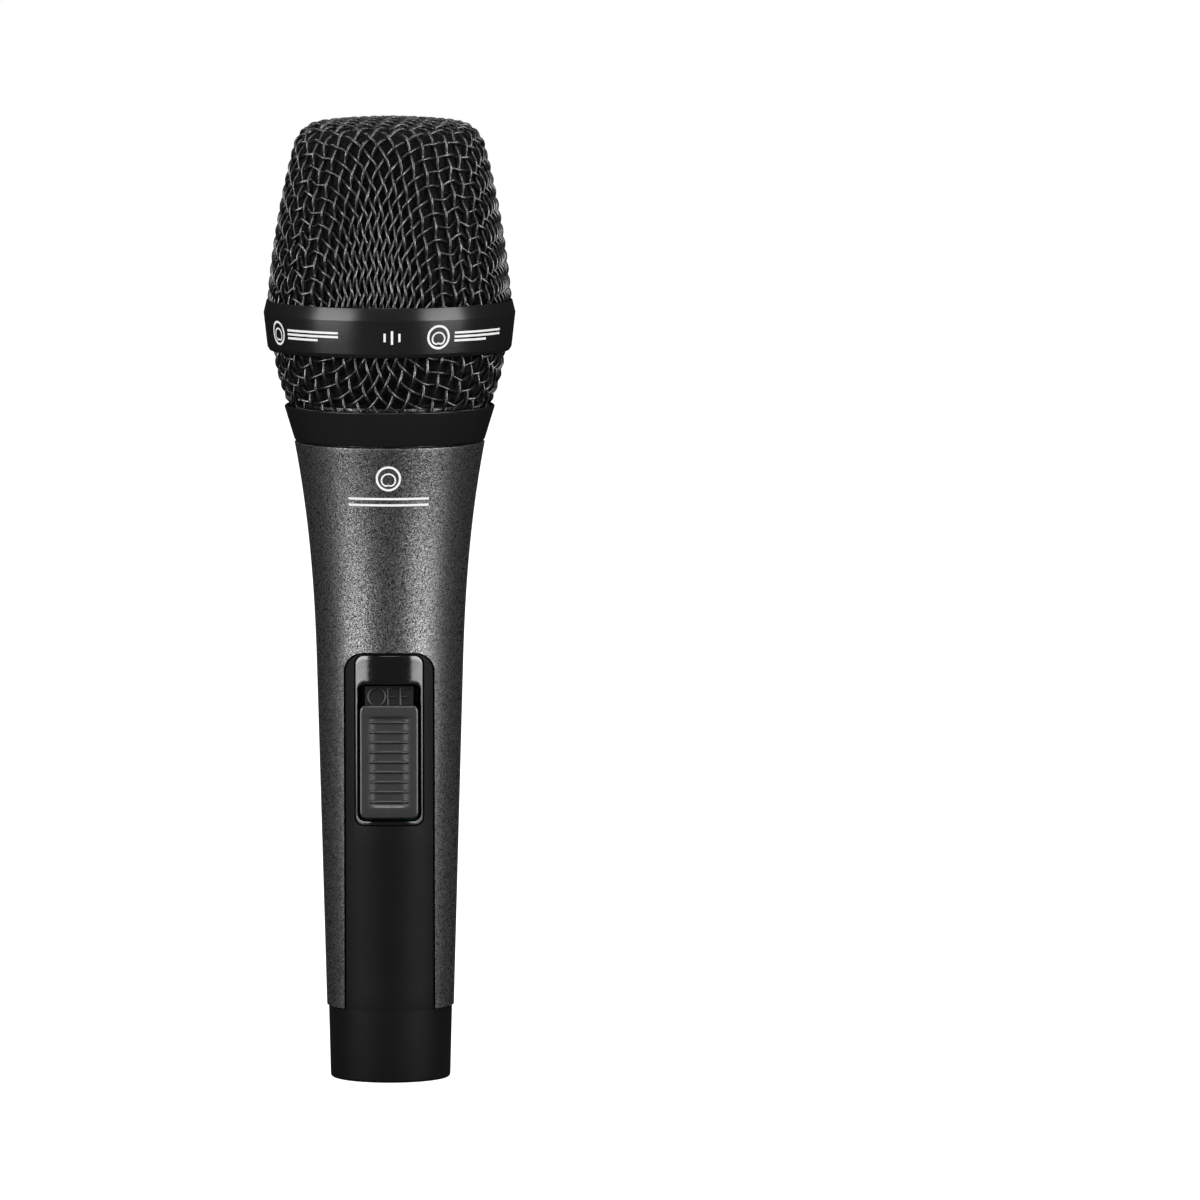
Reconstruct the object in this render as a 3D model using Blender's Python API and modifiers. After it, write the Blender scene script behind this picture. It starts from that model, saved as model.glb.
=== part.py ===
"""A handheld dynamic microphone with a slide switch, standing on its tail.

Metres, +Z up. The origin is the centre of the tail's end face and the microphone's axis is Z.
The switch is at the front, on the -Y side. Every size below is in millimetres, and the helper
functions turn them into metres.
"""

import math

import bmesh
import bpy
from mathutils import Vector

MM = 0.001
GAP = 0.3                     # between pieces that touch on the real object
ROUND_STEPS = 32              # facets around a large turned piece
MEDIUM_STEPS = 24             # facets around a piece of the capsule
SMALL_STEPS = 12              # facets around a pin or a screw

# Handle: a tapered casting that flares below the head.
HANDLE_BOTTOM, HANDLE_TOP = 14.0, 122.0
HANDLE_BOTTOM_RADIUS = 12.15
HANDLE_TAPER = 0.0279
FLARE_START, FLARE_DEPTH, FLARE_POWER = 78.0, 2.99, 2.4
HANDLE_WALL = 1.3
NECK_RADIUS, NECK_BORE, NECK_TOP = 16.2, 14.9, 129.4
SHOULDER_THICKNESS = 2.5

# Thread between the neck and the head's collar: a right-hand helix with a pointed crest.
THREAD_PITCH = 2.0
THREAD_CREST = 0.5
THREAD_WALL = NECK_RADIUS + 0.8
NECK_THREAD_START, NECK_THREAD_TURNS = 123.3, 2.6
COLLAR_THREAD_TURNS = 1.25
THREAD_POINTS_PER_TURN = 16

# Tail housing: the connector sleeve with the long spine that fills the handle's slot.
TAIL_EDGE, TAIL_CHAMFER = 11.45, 0.55
TAIL_SHOULDER_RADIUS, TAIL_SHOULDER = 11.8, 13.7
TAIL_BORE, TAIL_SPIGOT, TAIL_TOP = 9.55, 10.3, 30.0
SPINE_RECESS, SPINE_WALL = 0.35, 1.3
SLOT_WIDTH, SLOT_TOP, SLOT_CORNER = 17.3, 82.7, 3.85
KEY_WIDTH, KEY_HEIGHT = 2.2, 0.9

# Slide switch.
BEZEL_WIDTH, BEZEL_BOTTOM, BEZEL_WALL = 13.0, 49.6, 1.4
WINDOW_WIDTH, WINDOW_BOTTOM, WINDOW_TOP, WINDOW_CORNER = 11.9, 50.4, 76.6, 1.3
KNOB_WIDTH, KNOB_LENGTH, KNOB_CORNER = 11.06, 21.5, 1.1
KNOB_BOTTOM, KNOB_BACK, KNOB_FRONT = 51.15, 12.45, 14.35
KNOB_TRAVEL = 3.6
RIB_COUNT, RIB_PITCH, RIB_LENGTH, RIB_WIDTH, RIB_HEIGHT = 9, 1.9, 7.6, 0.6, 0.35
FRAME_WIDTH, FRAME_FRONT, FRAME_SHEET = 9.2, 12.1, 0.7
ACTUATOR_WIDTH, ACTUATOR_LENGTH = 2.8, 3.0
CASE_WIDTH, CASE_LENGTH, CASE_FRONT, CASE_BACK = 8.6, 18.0, 9.4, 4.5
BOARD_WIDTH, BOARD_BOTTOM, BOARD_TOP, BOARD_FRONT, BOARD_BACK = 11.0, 43.0, 82.0, 4.2, 3.0
LOWER_SCREW, UPPER_SCREW = 45.5, 79.3
BOSS_RADIUS, SCREW_RADIUS, SCREW_HEAD = 2.2, 0.9, 1.9

# Three-pin connector.
INSERT_RADIUS, INSERT_BOTTOM, INSERT_TOP = 9.25, 17.5, 23.5
PIN_CIRCLE, PIN_RADIUS, PIN_TIP, PIN_TOP = 3.81, 1.2, 2.75, 27.6
LOCK_SCREW_OFFSET, LOCK_SCREW_RADIUS = 6.2, 1.35

# Head: two woven baskets, the band round them, and the collar that screws on the neck.
CLOTH_THICKNESS = 1.2
CROWN_TOP, CROWN_RADIUS, CROWN_ANGLE = 184.0, 110.0, 6.9
CORNER_RADIUS, CORNER_ANGLE = 6.0, 75.2
WALL_RADIUS, WALL_BOTTOM = 170.0, 150.0
UPPER_RIM, UPPER_RIM_RADIUS = 145.0, 22.8
LOWER_RIM, LOWER_RIM_RADIUS = 143.2, 22.2
BOWL_RADIUS, BOWL_TOP, BOWL_TILT = 32.0, 139.3, 6.0
BOWL_BOTTOM, BOWL_EDGE = 129.2, 127.0
BAND_RADIUS, BAND_WIDEST, BAND_TOP, BAND_BOTTOM = 24.0, 146.7, 149.1, 139.5
COLLAR_TOP, COLLAR_TOP_RADIUS = 129.0, 20.05
COLLAR_BOTTOM, COLLAR_BOTTOM_RADIUS = 122.3, 18.2
FOAM_THICKNESS = 2.2

# Capsule, from the carrier in the neck up to the perforated cap.
CAPSULE_RADIUS, CAPSULE_WALL = 14.5, 1.0
CAPSULE_FLOOR, CAPSULE_TOP = 146.0, 166.0
BOSS_BOTTOM, REAR_BOSS_RADIUS = 139.5, 8.0
HUB_TOP, HUB_RADIUS = 136.0, 9.0
POT_RADIUS, POT_BORE, POT_TOP = 10.6, 9.1, 158.2
COIL_BORE, COIL_RADIUS = 7.8, 8.6
DIAPHRAGM_RADIUS, DIAPHRAGM_RISE = 12.4, 1.7
DIAPHRAGM_HEIGHT, DIAPHRAGM_SHEET = 161.5, 0.3
PORT_COUNT, CAP_HOLE_COUNT = 8, 6
WIRE_RADIUS = 0.45


def handle_radius(height):
    """The handle's outer radius: a straight taper, and a power curve where it flares."""
    flare = max(0.0, (height - FLARE_START) / (HANDLE_TOP - FLARE_START))
    taper = HANDLE_TAPER * (height - HANDLE_BOTTOM)
    return HANDLE_BOTTOM_RADIUS + taper + FLARE_DEPTH * flare**FLARE_POWER


def handle_line(offset, bottom, top, steps):
    """Points down the handle's outline, from top to bottom, moved inwards by offset."""
    heights = [top + (bottom - top) * i / steps for i in range(steps + 1)]
    return [(handle_radius(height) - offset, height) for height in heights]


def arc(centre, radius, start, end, steps):
    """Points on an arc in the outline's plane. Angles are from +Z towards +X, in degrees."""
    angles = [math.radians(start + (end - start) * i / steps) for i in range(steps + 1)]
    return [(centre[0] + radius * math.sin(a), centre[1] + radius * math.cos(a)) for a in angles]


def dome_line(inset):
    """The upper basket's outline from its crown to its foot: three arcs that touch smoothly."""
    crown, corner = math.radians(CROWN_ANGLE), math.radians(CORNER_ANGLE)
    first = (0.0, CROWN_TOP - CROWN_RADIUS)
    step = CROWN_RADIUS - CORNER_RADIUS
    second = (first[0] + step * math.sin(crown), first[1] + step * math.cos(crown))
    step = CORNER_RADIUS - WALL_RADIUS
    third = (second[0] + step * math.sin(corner), second[1] + step * math.cos(corner))
    foot = math.degrees(math.acos((WALL_BOTTOM - third[1]) / WALL_RADIUS))
    return (
        arc(first, CROWN_RADIUS - inset, 0, CROWN_ANGLE, 1)
        + arc(second, CORNER_RADIUS - inset, CROWN_ANGLE, CORNER_ANGLE, 4)[1:]
        + arc(third, WALL_RADIUS - inset, CORNER_ANGLE, foot, 4)[1:]
    )


def bowl_line(inset):
    """The lower basket's outline, from just under the band down to the collar."""
    tilt = math.radians(BOWL_TILT)
    centre = (
        LOWER_RIM_RADIUS - BOWL_RADIUS * math.cos(tilt),
        BOWL_TOP + BOWL_RADIUS * math.sin(tilt),
    )
    lowest = 90 + math.degrees(math.asin((centre[1] - BOWL_BOTTOM) / BOWL_RADIUS))
    return arc(centre, BOWL_RADIUS - inset, 90 + BOWL_TILT, lowest, 4)


def clear_scene():
    """Removes the objects that Blender starts with."""
    for obj in list(bpy.data.objects):
        bpy.data.objects.remove(obj)


def new_collection(name):
    """A collection in the scene."""
    collection = bpy.data.collections.new(name)
    bpy.context.scene.collection.children.link(collection)
    return collection


def new_material(name, colour, roughness, metallic=0.0):
    """A Principled material of one colour."""
    material = bpy.data.materials.new(name)
    material.use_nodes = True
    shader = material.node_tree.nodes["Principled BSDF"]
    shader.inputs["Base Color"].default_value = (*colour, 1.0)
    shader.inputs["Roughness"].default_value = roughness
    shader.inputs["Metallic"].default_value = metallic
    return material


def new_empty(name, place, parent=None):
    """An empty at a place in the microphone, to hold pieces that move together."""
    empty = bpy.data.objects.new(name, None)
    PARTS.objects.link(empty)
    empty.parent = parent
    empty.location = Vector(place) * MM - (parent.location if parent else Vector())
    return empty


def add_object(name, data, place, finish, parent):
    """Links a piece at its place in the microphone. A piece with no finish is a cutter."""
    obj = bpy.data.objects.new(name, data)
    if finish is None:
        CUTTERS.objects.link(obj)
        obj.hide_render = True
        obj.display_type = "WIRE"
    else:
        PARTS.objects.link(obj)
        data.materials.append(finish)
    obj.location = Vector(place) * MM
    if parent is not None:
        obj.parent = parent
        obj.location -= parent.matrix_world.translation
    return obj


def turned(name, outline, finish, parent=None, axis=(0.0, 0.0), steps=ROUND_STEPS):
    """A turned piece. An outline that starts on the axis is open there, and any other is a loop."""
    low = min(height for _, height in outline)
    points = [(radius * MM, 0.0, (height - low) * MM) for radius, height in outline]
    edges = [(i, i + 1) for i in range(len(points) - 1)]
    if outline[0][0] > 0:
        edges.append((len(points) - 1, 0))
    mesh = bpy.data.meshes.new(name)
    mesh.from_pydata(points, edges, [])
    obj = add_object(name, mesh, (axis[0], axis[1], low), finish, parent)
    screw = obj.modifiers.new("Turn", "SCREW")
    screw.axis = "Z"
    screw.steps = screw.render_steps = steps
    screw.use_merge_vertices = True
    screw.merge_threshold = 0.00001
    return obj


def block(name, size, centre, finish, parent=None, corner=0.0, top_only=False):
    """A box whose edges along Y are rounded, all four or only the top two."""
    mesh = bpy.data.meshes.new(name)
    shape = bmesh.new()
    bmesh.ops.create_cube(shape, size=1.0)
    bmesh.ops.scale(shape, vec=Vector(size) * MM, verts=shape.verts)
    if corner:
        along = [e for e in shape.edges if abs(e.verts[0].co.y - e.verts[1].co.y) > MM / 2]
        rounded = [e for e in along if e.verts[0].co.z > 0 or not top_only]
        bmesh.ops.bevel(shape, geom=rounded, offset=corner * MM, segments=4, profile=0.5, affect="EDGES")
    shape.to_mesh(mesh)
    shape.free()
    return add_object(name, mesh, centre, finish, parent)


def rod(name, radius, centre, length, finish, parent=None, axis="Y", steps=SMALL_STEPS):
    """A plain cylinder along one axis."""
    mesh = bpy.data.meshes.new(name)
    shape = bmesh.new()
    bmesh.ops.create_cone(
        shape, cap_ends=True, segments=steps, radius1=radius * MM, radius2=radius * MM, depth=length * MM
    )
    shape.to_mesh(mesh)
    shape.free()
    obj = add_object(name, mesh, centre, finish, parent)
    if axis == "Y":
        obj.rotation_euler.x = math.pi / 2
    elif axis == "X":
        obj.rotation_euler.y = math.pi / 2
    return obj


def combine(target, other, operation="DIFFERENCE"):
    """Cuts, joins or intersects a piece with a cutter."""
    modifier = target.modifiers.new(operation.title(), "BOOLEAN")
    modifier.solver = "EXACT"
    modifier.operation = operation
    modifier.object = other
    return target


def new_curve(name, points, radius, rounding):
    """A round bar on a path of straight runs between points that lie close together."""
    curve = bpy.data.curves.new(name, "CURVE")
    curve.dimensions = "3D"
    curve.bevel_depth = radius * MM
    curve.bevel_resolution = rounding
    curve.use_fill_caps = True
    spline = curve.splines.new("POLY")
    spline.points.add(len(points) - 1)
    for target, point in zip(spline.points, points):
        target.co = (*(Vector(point) * MM), 1.0)
    return curve


def curve_as_cutter(curve, name):
    """A mesh of a curve with its caps welded on, so that a Boolean can use it."""
    source = bpy.data.objects.new(name + "_path", curve)
    CUTTERS.objects.link(source)
    bpy.context.view_layer.update()
    graph = bpy.context.evaluated_depsgraph_get()
    mesh = bpy.data.meshes.new_from_object(source.evaluated_get(graph))
    shape = bmesh.new()
    shape.from_mesh(mesh)
    bmesh.ops.remove_doubles(shape, verts=shape.verts, dist=0.000001)
    bmesh.ops.recalc_face_normals(shape, faces=shape.faces)
    shape.to_mesh(mesh)
    shape.free()
    matrix = source.matrix_world.copy()
    bpy.data.objects.remove(source)
    cutter = add_object(name, mesh, (0, 0, 0), None, None)
    cutter.matrix_world = matrix
    return cutter


def thread_ridge(name, radius, bottom, turns, start_turn):
    """A right-hand helix with a pointed crest on a wall: it rises one pitch in each turn."""
    count = round(turns * THREAD_POINTS_PER_TURN)
    points = []
    for i in range(count + 1):
        turn = i / THREAD_POINTS_PER_TURN
        angle = 2 * math.pi * (turn + start_turn)
        points.append((radius * math.cos(angle), radius * math.sin(angle), bottom + THREAD_PITCH * turn))
    return curve_as_cutter(new_curve(name, points, THREAD_CREST, 0), name)


def smooth_path(places, runs=3):
    """Points on a smooth curve through the given places."""
    ends = [places[0], *places, places[-1]]
    points = []
    for a, b, c, d in zip(ends, ends[1:], ends[2:], ends[3:]):
        a, b, c, d = (Vector(p) for p in (a, b, c, d))
        for i in range(runs):
            t = i / runs
            bend = (2 * a - 5 * b + 4 * c - d) * t**2 + (3 * b - 3 * c + d - a) * t**3
            points.append(0.5 * (2 * b + (c - a) * t + bend))
    return [*points, Vector(places[-1])]


def wire(name, places, finish, parent):
    """An insulated lead on a smooth path."""
    curve = new_curve(name, smooth_path(places), WIRE_RADIUS, 1)
    return add_object(name, curve, (0, 0, 0), finish, parent)


def front_block(name, width, bottom, top, finish=None, corner=0.0, top_only=False):
    """A tall block through the front wall only, for the slot and for what fills it."""
    depth = 16.0
    centre = (0, -depth / 2 - 4, (bottom + top) / 2)
    return block(name, (width, depth, top - bottom), centre, finish, corner=corner, top_only=top_only)


def make_handle(root):
    """The painted casting: the grip, its shoulder and the threaded neck, with the front slot."""
    shoulder = HANDLE_TOP - SHOULDER_THICKNESS
    outline = (
        [(NECK_BORE, NECK_TOP), (NECK_RADIUS, NECK_TOP), (NECK_RADIUS, HANDLE_TOP)]
        + handle_line(0.0, HANDLE_BOTTOM, HANDLE_TOP, 11)
        + handle_line(HANDLE_WALL, HANDLE_BOTTOM, shoulder, 6)[::-1]
        + [(NECK_BORE, shoulder)]
    )
    shell = turned("handle_shell", outline, PAINT, root)
    slot = front_block("handle_slot", SLOT_WIDTH, 0.0, SLOT_TOP, corner=SLOT_CORNER, top_only=True)
    combine(shell, slot)
    ridge = thread_ridge("neck_ridge", NECK_RADIUS, NECK_THREAD_START, NECK_THREAD_TURNS, 0.0)
    combine(shell, ridge, "UNION")


def make_tail(root):
    """The black sleeve round the connector, with the spine, a screw boss and the key rib."""
    sleeve = [
        (TAIL_BORE, TAIL_TOP),
        (TAIL_SPIGOT, TAIL_TOP),
        (TAIL_SPIGOT, TAIL_SHOULDER),
        (TAIL_SHOULDER_RADIUS, TAIL_SHOULDER),
        (TAIL_EDGE, TAIL_CHAMFER),
        (TAIL_EDGE - TAIL_CHAMFER, 0.0),
        (TAIL_BORE, 0.0),
    ]
    tail = turned("tail_housing", sleeve, BLACK_PLASTIC, root)
    spine_bottom, spine_top = TAIL_SHOULDER - 0.7, SLOT_TOP - GAP
    spine_back = SPINE_RECESS + SPINE_WALL
    outline = handle_line(SPINE_RECESS, spine_bottom, spine_top + 1, 3)
    outline += handle_line(spine_back, spine_bottom, spine_top + 1, 3)[::-1]
    spine = turned("spine_body", outline, None)
    width = SLOT_WIDTH - 2 * GAP
    combine(spine, front_block("spine_side", width, 0.0, spine_top, corner=SLOT_CORNER - GAP, top_only=True),
            "INTERSECT")
    opening = front_block("bezel_opening", BEZEL_WIDTH + 2 * GAP, BEZEL_BOTTOM - GAP, SLOT_TOP + 5)
    combine(spine, opening)
    combine(tail, spine, "UNION")
    boss_front = handle_radius(LOWER_SCREW) - SPINE_RECESS - 0.5
    combine(tail, screw_boss("spine_boss", LOWER_SCREW, boss_front), "UNION")
    combine(tail, screw_hole("spine_hole", LOWER_SCREW))
    key_length = INSERT_BOTTOM - GAP - 4.0
    key_place = (0, TAIL_BORE - KEY_HEIGHT / 2 + 0.3, 4.0 + key_length / 2)
    key = block("key_rib", (KEY_WIDTH, KEY_HEIGHT + 0.6, key_length), key_place, None)
    combine(tail, key, "UNION")


def screw_boss(name, height, front):
    """A pillar on the back of a front wall, reaching to just short of the circuit board."""
    back = BOARD_FRONT + GAP
    return rod(name, BOSS_RADIUS, (0, -(front + back) / 2, height), front - back, None)


def screw_hole(name, height):
    """The blind hole in a pillar for its screw."""
    front, back = 9.8, BOARD_FRONT - 1
    return rod(name, SCREW_RADIUS + GAP, (0, -(front + back) / 2, height), front - back, None)


def make_bezel(root):
    """The glossy frame round the switch window, level with the handle's surface."""
    top = SLOT_TOP - GAP
    outline = handle_line(0.05, BEZEL_BOTTOM - 1, top + 1, 2)
    outline += handle_line(0.05 + BEZEL_WALL, BEZEL_BOTTOM - 1, top + 1, 2)[::-1]
    bezel = turned("switch_bezel", outline, GLOSS_PLASTIC, root)
    width = SLOT_WIDTH - 2 * GAP
    combine(bezel, front_block("bezel_top", width, 0.0, top, corner=SLOT_CORNER - GAP, top_only=True),
            "INTERSECT")
    combine(bezel, front_block("bezel_side", BEZEL_WIDTH, BEZEL_BOTTOM, top + 9, corner=1.5), "INTERSECT")
    window = front_block("window", WINDOW_WIDTH, WINDOW_BOTTOM, WINDOW_TOP, corner=WINDOW_CORNER)
    combine(bezel, window)
    combine(bezel, screw_boss("bezel_boss", UPPER_SCREW, handle_radius(UPPER_SCREW) - 0.9), "UNION")
    combine(bezel, screw_hole("bezel_hole", UPPER_SCREW))


def make_switch(root, slider):
    """The slide switch: its frame, case and board, and the knob and actuator that slide."""
    actuator_height = KNOB_BOTTOM + KNOB_LENGTH / 2
    slot_low = actuator_height - ACTUATOR_LENGTH / 2 - GAP
    slot_high = actuator_height + ACTUATOR_LENGTH / 2 + KNOB_TRAVEL + GAP
    slot_width = ACTUATOR_WIDTH + 2 * GAP
    slot_middle = (slot_low + slot_high) / 2

    low, high = WINDOW_BOTTOM + 0.4, WINDOW_TOP - 0.4
    depth = FRAME_FRONT - BOARD_FRONT - GAP
    middle = -(FRAME_FRONT - depth / 2)
    size, place = (FRAME_WIDTH, depth, high - low), (0, middle, (low + high) / 2)
    frame = block("switch_frame", size, place, STEEL, root)
    inside = (FRAME_WIDTH + 2, depth, high - low - 2 * FRAME_SHEET)
    combine(frame, block("frame_inside", inside, (0, middle + FRAME_SHEET, (low + high) / 2), None))
    slot = (slot_width, 4.0, slot_high - slot_low)
    combine(frame, block("frame_slot", slot, (0, -FRAME_FRONT, slot_middle), None))

    case_depth = CASE_FRONT - CASE_BACK
    case_place = (0, -(CASE_FRONT + CASE_BACK) / 2, slot_middle)
    case = block("switch_case", (CASE_WIDTH, case_depth, CASE_LENGTH), case_place, STEEL, root)
    combine(case, block("case_slot", slot, (0, -CASE_FRONT, slot_middle), None))

    board_size = (BOARD_WIDTH, BOARD_FRONT - BOARD_BACK, BOARD_TOP - BOARD_BOTTOM)
    board_place = (0, -(BOARD_FRONT + BOARD_BACK) / 2, (BOARD_TOP + BOARD_BOTTOM) / 2)
    board = block("switch_board", board_size, board_place, CIRCUIT_BOARD, root)
    for label, height in (("lower", LOWER_SCREW), ("upper", UPPER_SCREW)):
        hole = rod(f"board_hole_{label}", SCREW_RADIUS + GAP, (0, board_place[1], height), 5.0, None)
        combine(board, hole)
        make_board_screw(f"board_screw_{label}", height, root)

    back, front = CASE_FRONT - 1.5, KNOB_BACK + 0.5
    actuator_size = (ACTUATOR_WIDTH, front - back, ACTUATOR_LENGTH)
    block("switch_actuator", actuator_size, (0, -(front + back) / 2, actuator_height), BLACK_PLASTIC, slider)
    make_knob(slider, actuator_height)


def make_board_screw(name, height, root):
    """A pan-head screw that clamps the board against its pillar."""
    tip, head_middle = -9.0, -(BOARD_BACK - GAP - 0.7)
    middle, length = (0, (tip + head_middle) / 2, height), head_middle - tip
    shank = rod(name, SCREW_RADIUS, middle, length, STEEL, root)
    combine(shank, rod(name + "_head", SCREW_HEAD, (0, head_middle, height), 1.4, None), "UNION")


def make_knob(slider, actuator_height):
    """The ribbed thumb slide, with a pocket behind it for the actuator."""
    depth = KNOB_FRONT - KNOB_BACK
    place = (0, -(KNOB_FRONT + KNOB_BACK) / 2, KNOB_BOTTOM + KNOB_LENGTH / 2)
    size = (KNOB_WIDTH, depth, KNOB_LENGTH)
    knob = block("switch_knob", size, place, KNOB_PLASTIC, slider, corner=KNOB_CORNER)
    for i in range(RIB_COUNT):
        height = place[2] + RIB_PITCH * (i - (RIB_COUNT - 1) / 2)
        size = (RIB_LENGTH, 2 * RIB_HEIGHT, RIB_WIDTH)
        combine(knob, block(f"knob_rib_{i}", size, (0, -KNOB_FRONT, height), None), "UNION")
    pocket = (ACTUATOR_WIDTH + 2 * GAP, 2 * (0.5 + GAP), ACTUATOR_LENGTH + 2 * GAP)
    combine(knob, block("knob_pocket", pocket, (0, -KNOB_BACK, actuator_height), None))


def pin_places():
    """The three contacts, numbered 1 to 3, as they sit round the connector's axis."""
    return {1: (-PIN_CIRCLE, 0.0), 2: (PIN_CIRCLE, 0.0), 3: (0.0, -PIN_CIRCLE)}


def make_connector(root):
    """The insulator, its three contacts and the screw that locks it in the sleeve."""
    disc = [(0, INSERT_TOP), (INSERT_RADIUS, INSERT_TOP), (INSERT_RADIUS, INSERT_BOTTOM), (0, INSERT_BOTTOM)]
    insert = turned("xlr_insert", disc, BLACK_PLASTIC, root)
    middle, through = (INSERT_TOP + INSERT_BOTTOM) / 2, INSERT_TOP - INSERT_BOTTOM + 2
    contact = [
        (0, 25.4), (0.7, 25.4), (0.7, PIN_TOP), (PIN_RADIUS, PIN_TOP), (PIN_RADIUS, 24.8), (1.9, 24.8),
        (1.9, INSERT_TOP + GAP), (PIN_RADIUS, INSERT_TOP + GAP), (PIN_RADIUS, PIN_TIP + 0.95),
        (1.0, PIN_TIP + 0.4), (0.55, PIN_TIP + 0.1), (0, PIN_TIP),
    ]
    for number, (x, y) in pin_places().items():
        hole = rod(f"pin_hole_{number}", PIN_RADIUS + GAP, (x, y, middle), through, None, axis="Z")
        combine(insert, hole)
        turned(f"xlr_pin_{number}", contact, BRASS, root, axis=(x, y), steps=SMALL_STEPS)
    place = (0, LOCK_SCREW_OFFSET, middle)
    combine(insert, rod("lock_hole", LOCK_SCREW_RADIUS + GAP, place, through, None, axis="Z"))
    length = INSERT_TOP - INSERT_BOTTOM - 0.8
    lock = rod("xlr_lock_screw", LOCK_SCREW_RADIUS, place, length, STEEL, root, axis="Z")
    groove = block("lock_groove", (0.5, 4.0, 1.2), (0, LOCK_SCREW_OFFSET, middle - length / 2), None)
    combine(lock, groove)


def make_head(head, lift):
    """The baskets, the band, the ring inside it, the threaded collar and the foam liner."""
    rim = [(UPPER_RIM_RADIUS, WALL_BOTTOM - 0.7), (UPPER_RIM_RADIUS, UPPER_RIM)]
    inner_rim = [(r - CLOTH_THICKNESS, z) for r, z in rim]
    upper = dome_line(0.0) + rim + inner_rim[::-1] + dome_line(CLOTH_THICKNESS)[::-1]
    turned("upper_grille", upper, GRILLE_STEEL, head)

    collar_edge = BOWL_EDGE + GAP
    skirt = [(18.7, collar_edge), (18.1, collar_edge)]
    lower = (
        [(LOWER_RIM_RADIUS, LOWER_RIM)] + bowl_line(0.0) + skirt
        + bowl_line(CLOTH_THICKNESS)[::-1] + [(LOWER_RIM_RADIUS - CLOTH_THICKNESS, LOWER_RIM)]
    )
    turned("lower_grille", lower, GRILLE_STEEL, head)

    upper_bore, lower_bore, ledge = 23.1, 22.6, 144.6
    band = [
        (upper_bore, BAND_TOP), (upper_bore + 0.35, BAND_TOP), (BAND_RADIUS, BAND_WIDEST), (23.25, 140.2),
        (22.95, BAND_BOTTOM), (lower_bore, BAND_BOTTOM), (lower_bore, ledge), (upper_bore, ledge),
    ]
    turned("grille_band", band, BLACK_METAL, head)
    ring = [(20.0, 147.5), (20.7, 147.5), (20.7, 141.0), (20.0, 141.0)]
    turned("clamp_ring", ring, BLACK_METAL, head)

    collar = [
        (THREAD_WALL, COLLAR_TOP), (17.75, COLLAR_TOP), (17.75, BOWL_EDGE), (19.0, BOWL_EDGE),
        (19.6, COLLAR_TOP), (COLLAR_TOP_RADIUS - 0.2, COLLAR_TOP), (COLLAR_TOP_RADIUS, COLLAR_TOP - 0.25),
        (COLLAR_BOTTOM_RADIUS, COLLAR_BOTTOM + 0.4), (COLLAR_BOTTOM_RADIUS - 0.3, COLLAR_BOTTOM),
        (THREAD_WALL, COLLAR_BOTTOM),
    ]
    collar = turned("grille_collar", collar, BLACK_METAL, head)
    bottom = NECK_THREAD_START + THREAD_PITCH / 2
    ridge = thread_ridge("collar_ridge", THREAD_WALL, bottom, COLLAR_THREAD_TURNS, 0.0)
    combine(collar, ridge, "UNION")

    inset = CLOTH_THICKNESS + GAP
    outer_foot = [(19.6, 148.5), (19.6, 138.5), (19.3, 134.5), (18.2, 130.4)]
    inner_foot = [(17.4, 148.5), (17.4, 139.0), (17.1, 134.5), (16.7, 130.4)]
    foam = dome_line(inset) + outer_foot + (dome_line(inset + FOAM_THICKNESS) + inner_foot)[::-1]
    turned("foam_liner", foam, FOAM, lift, steps=MEDIUM_STEPS)


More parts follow.
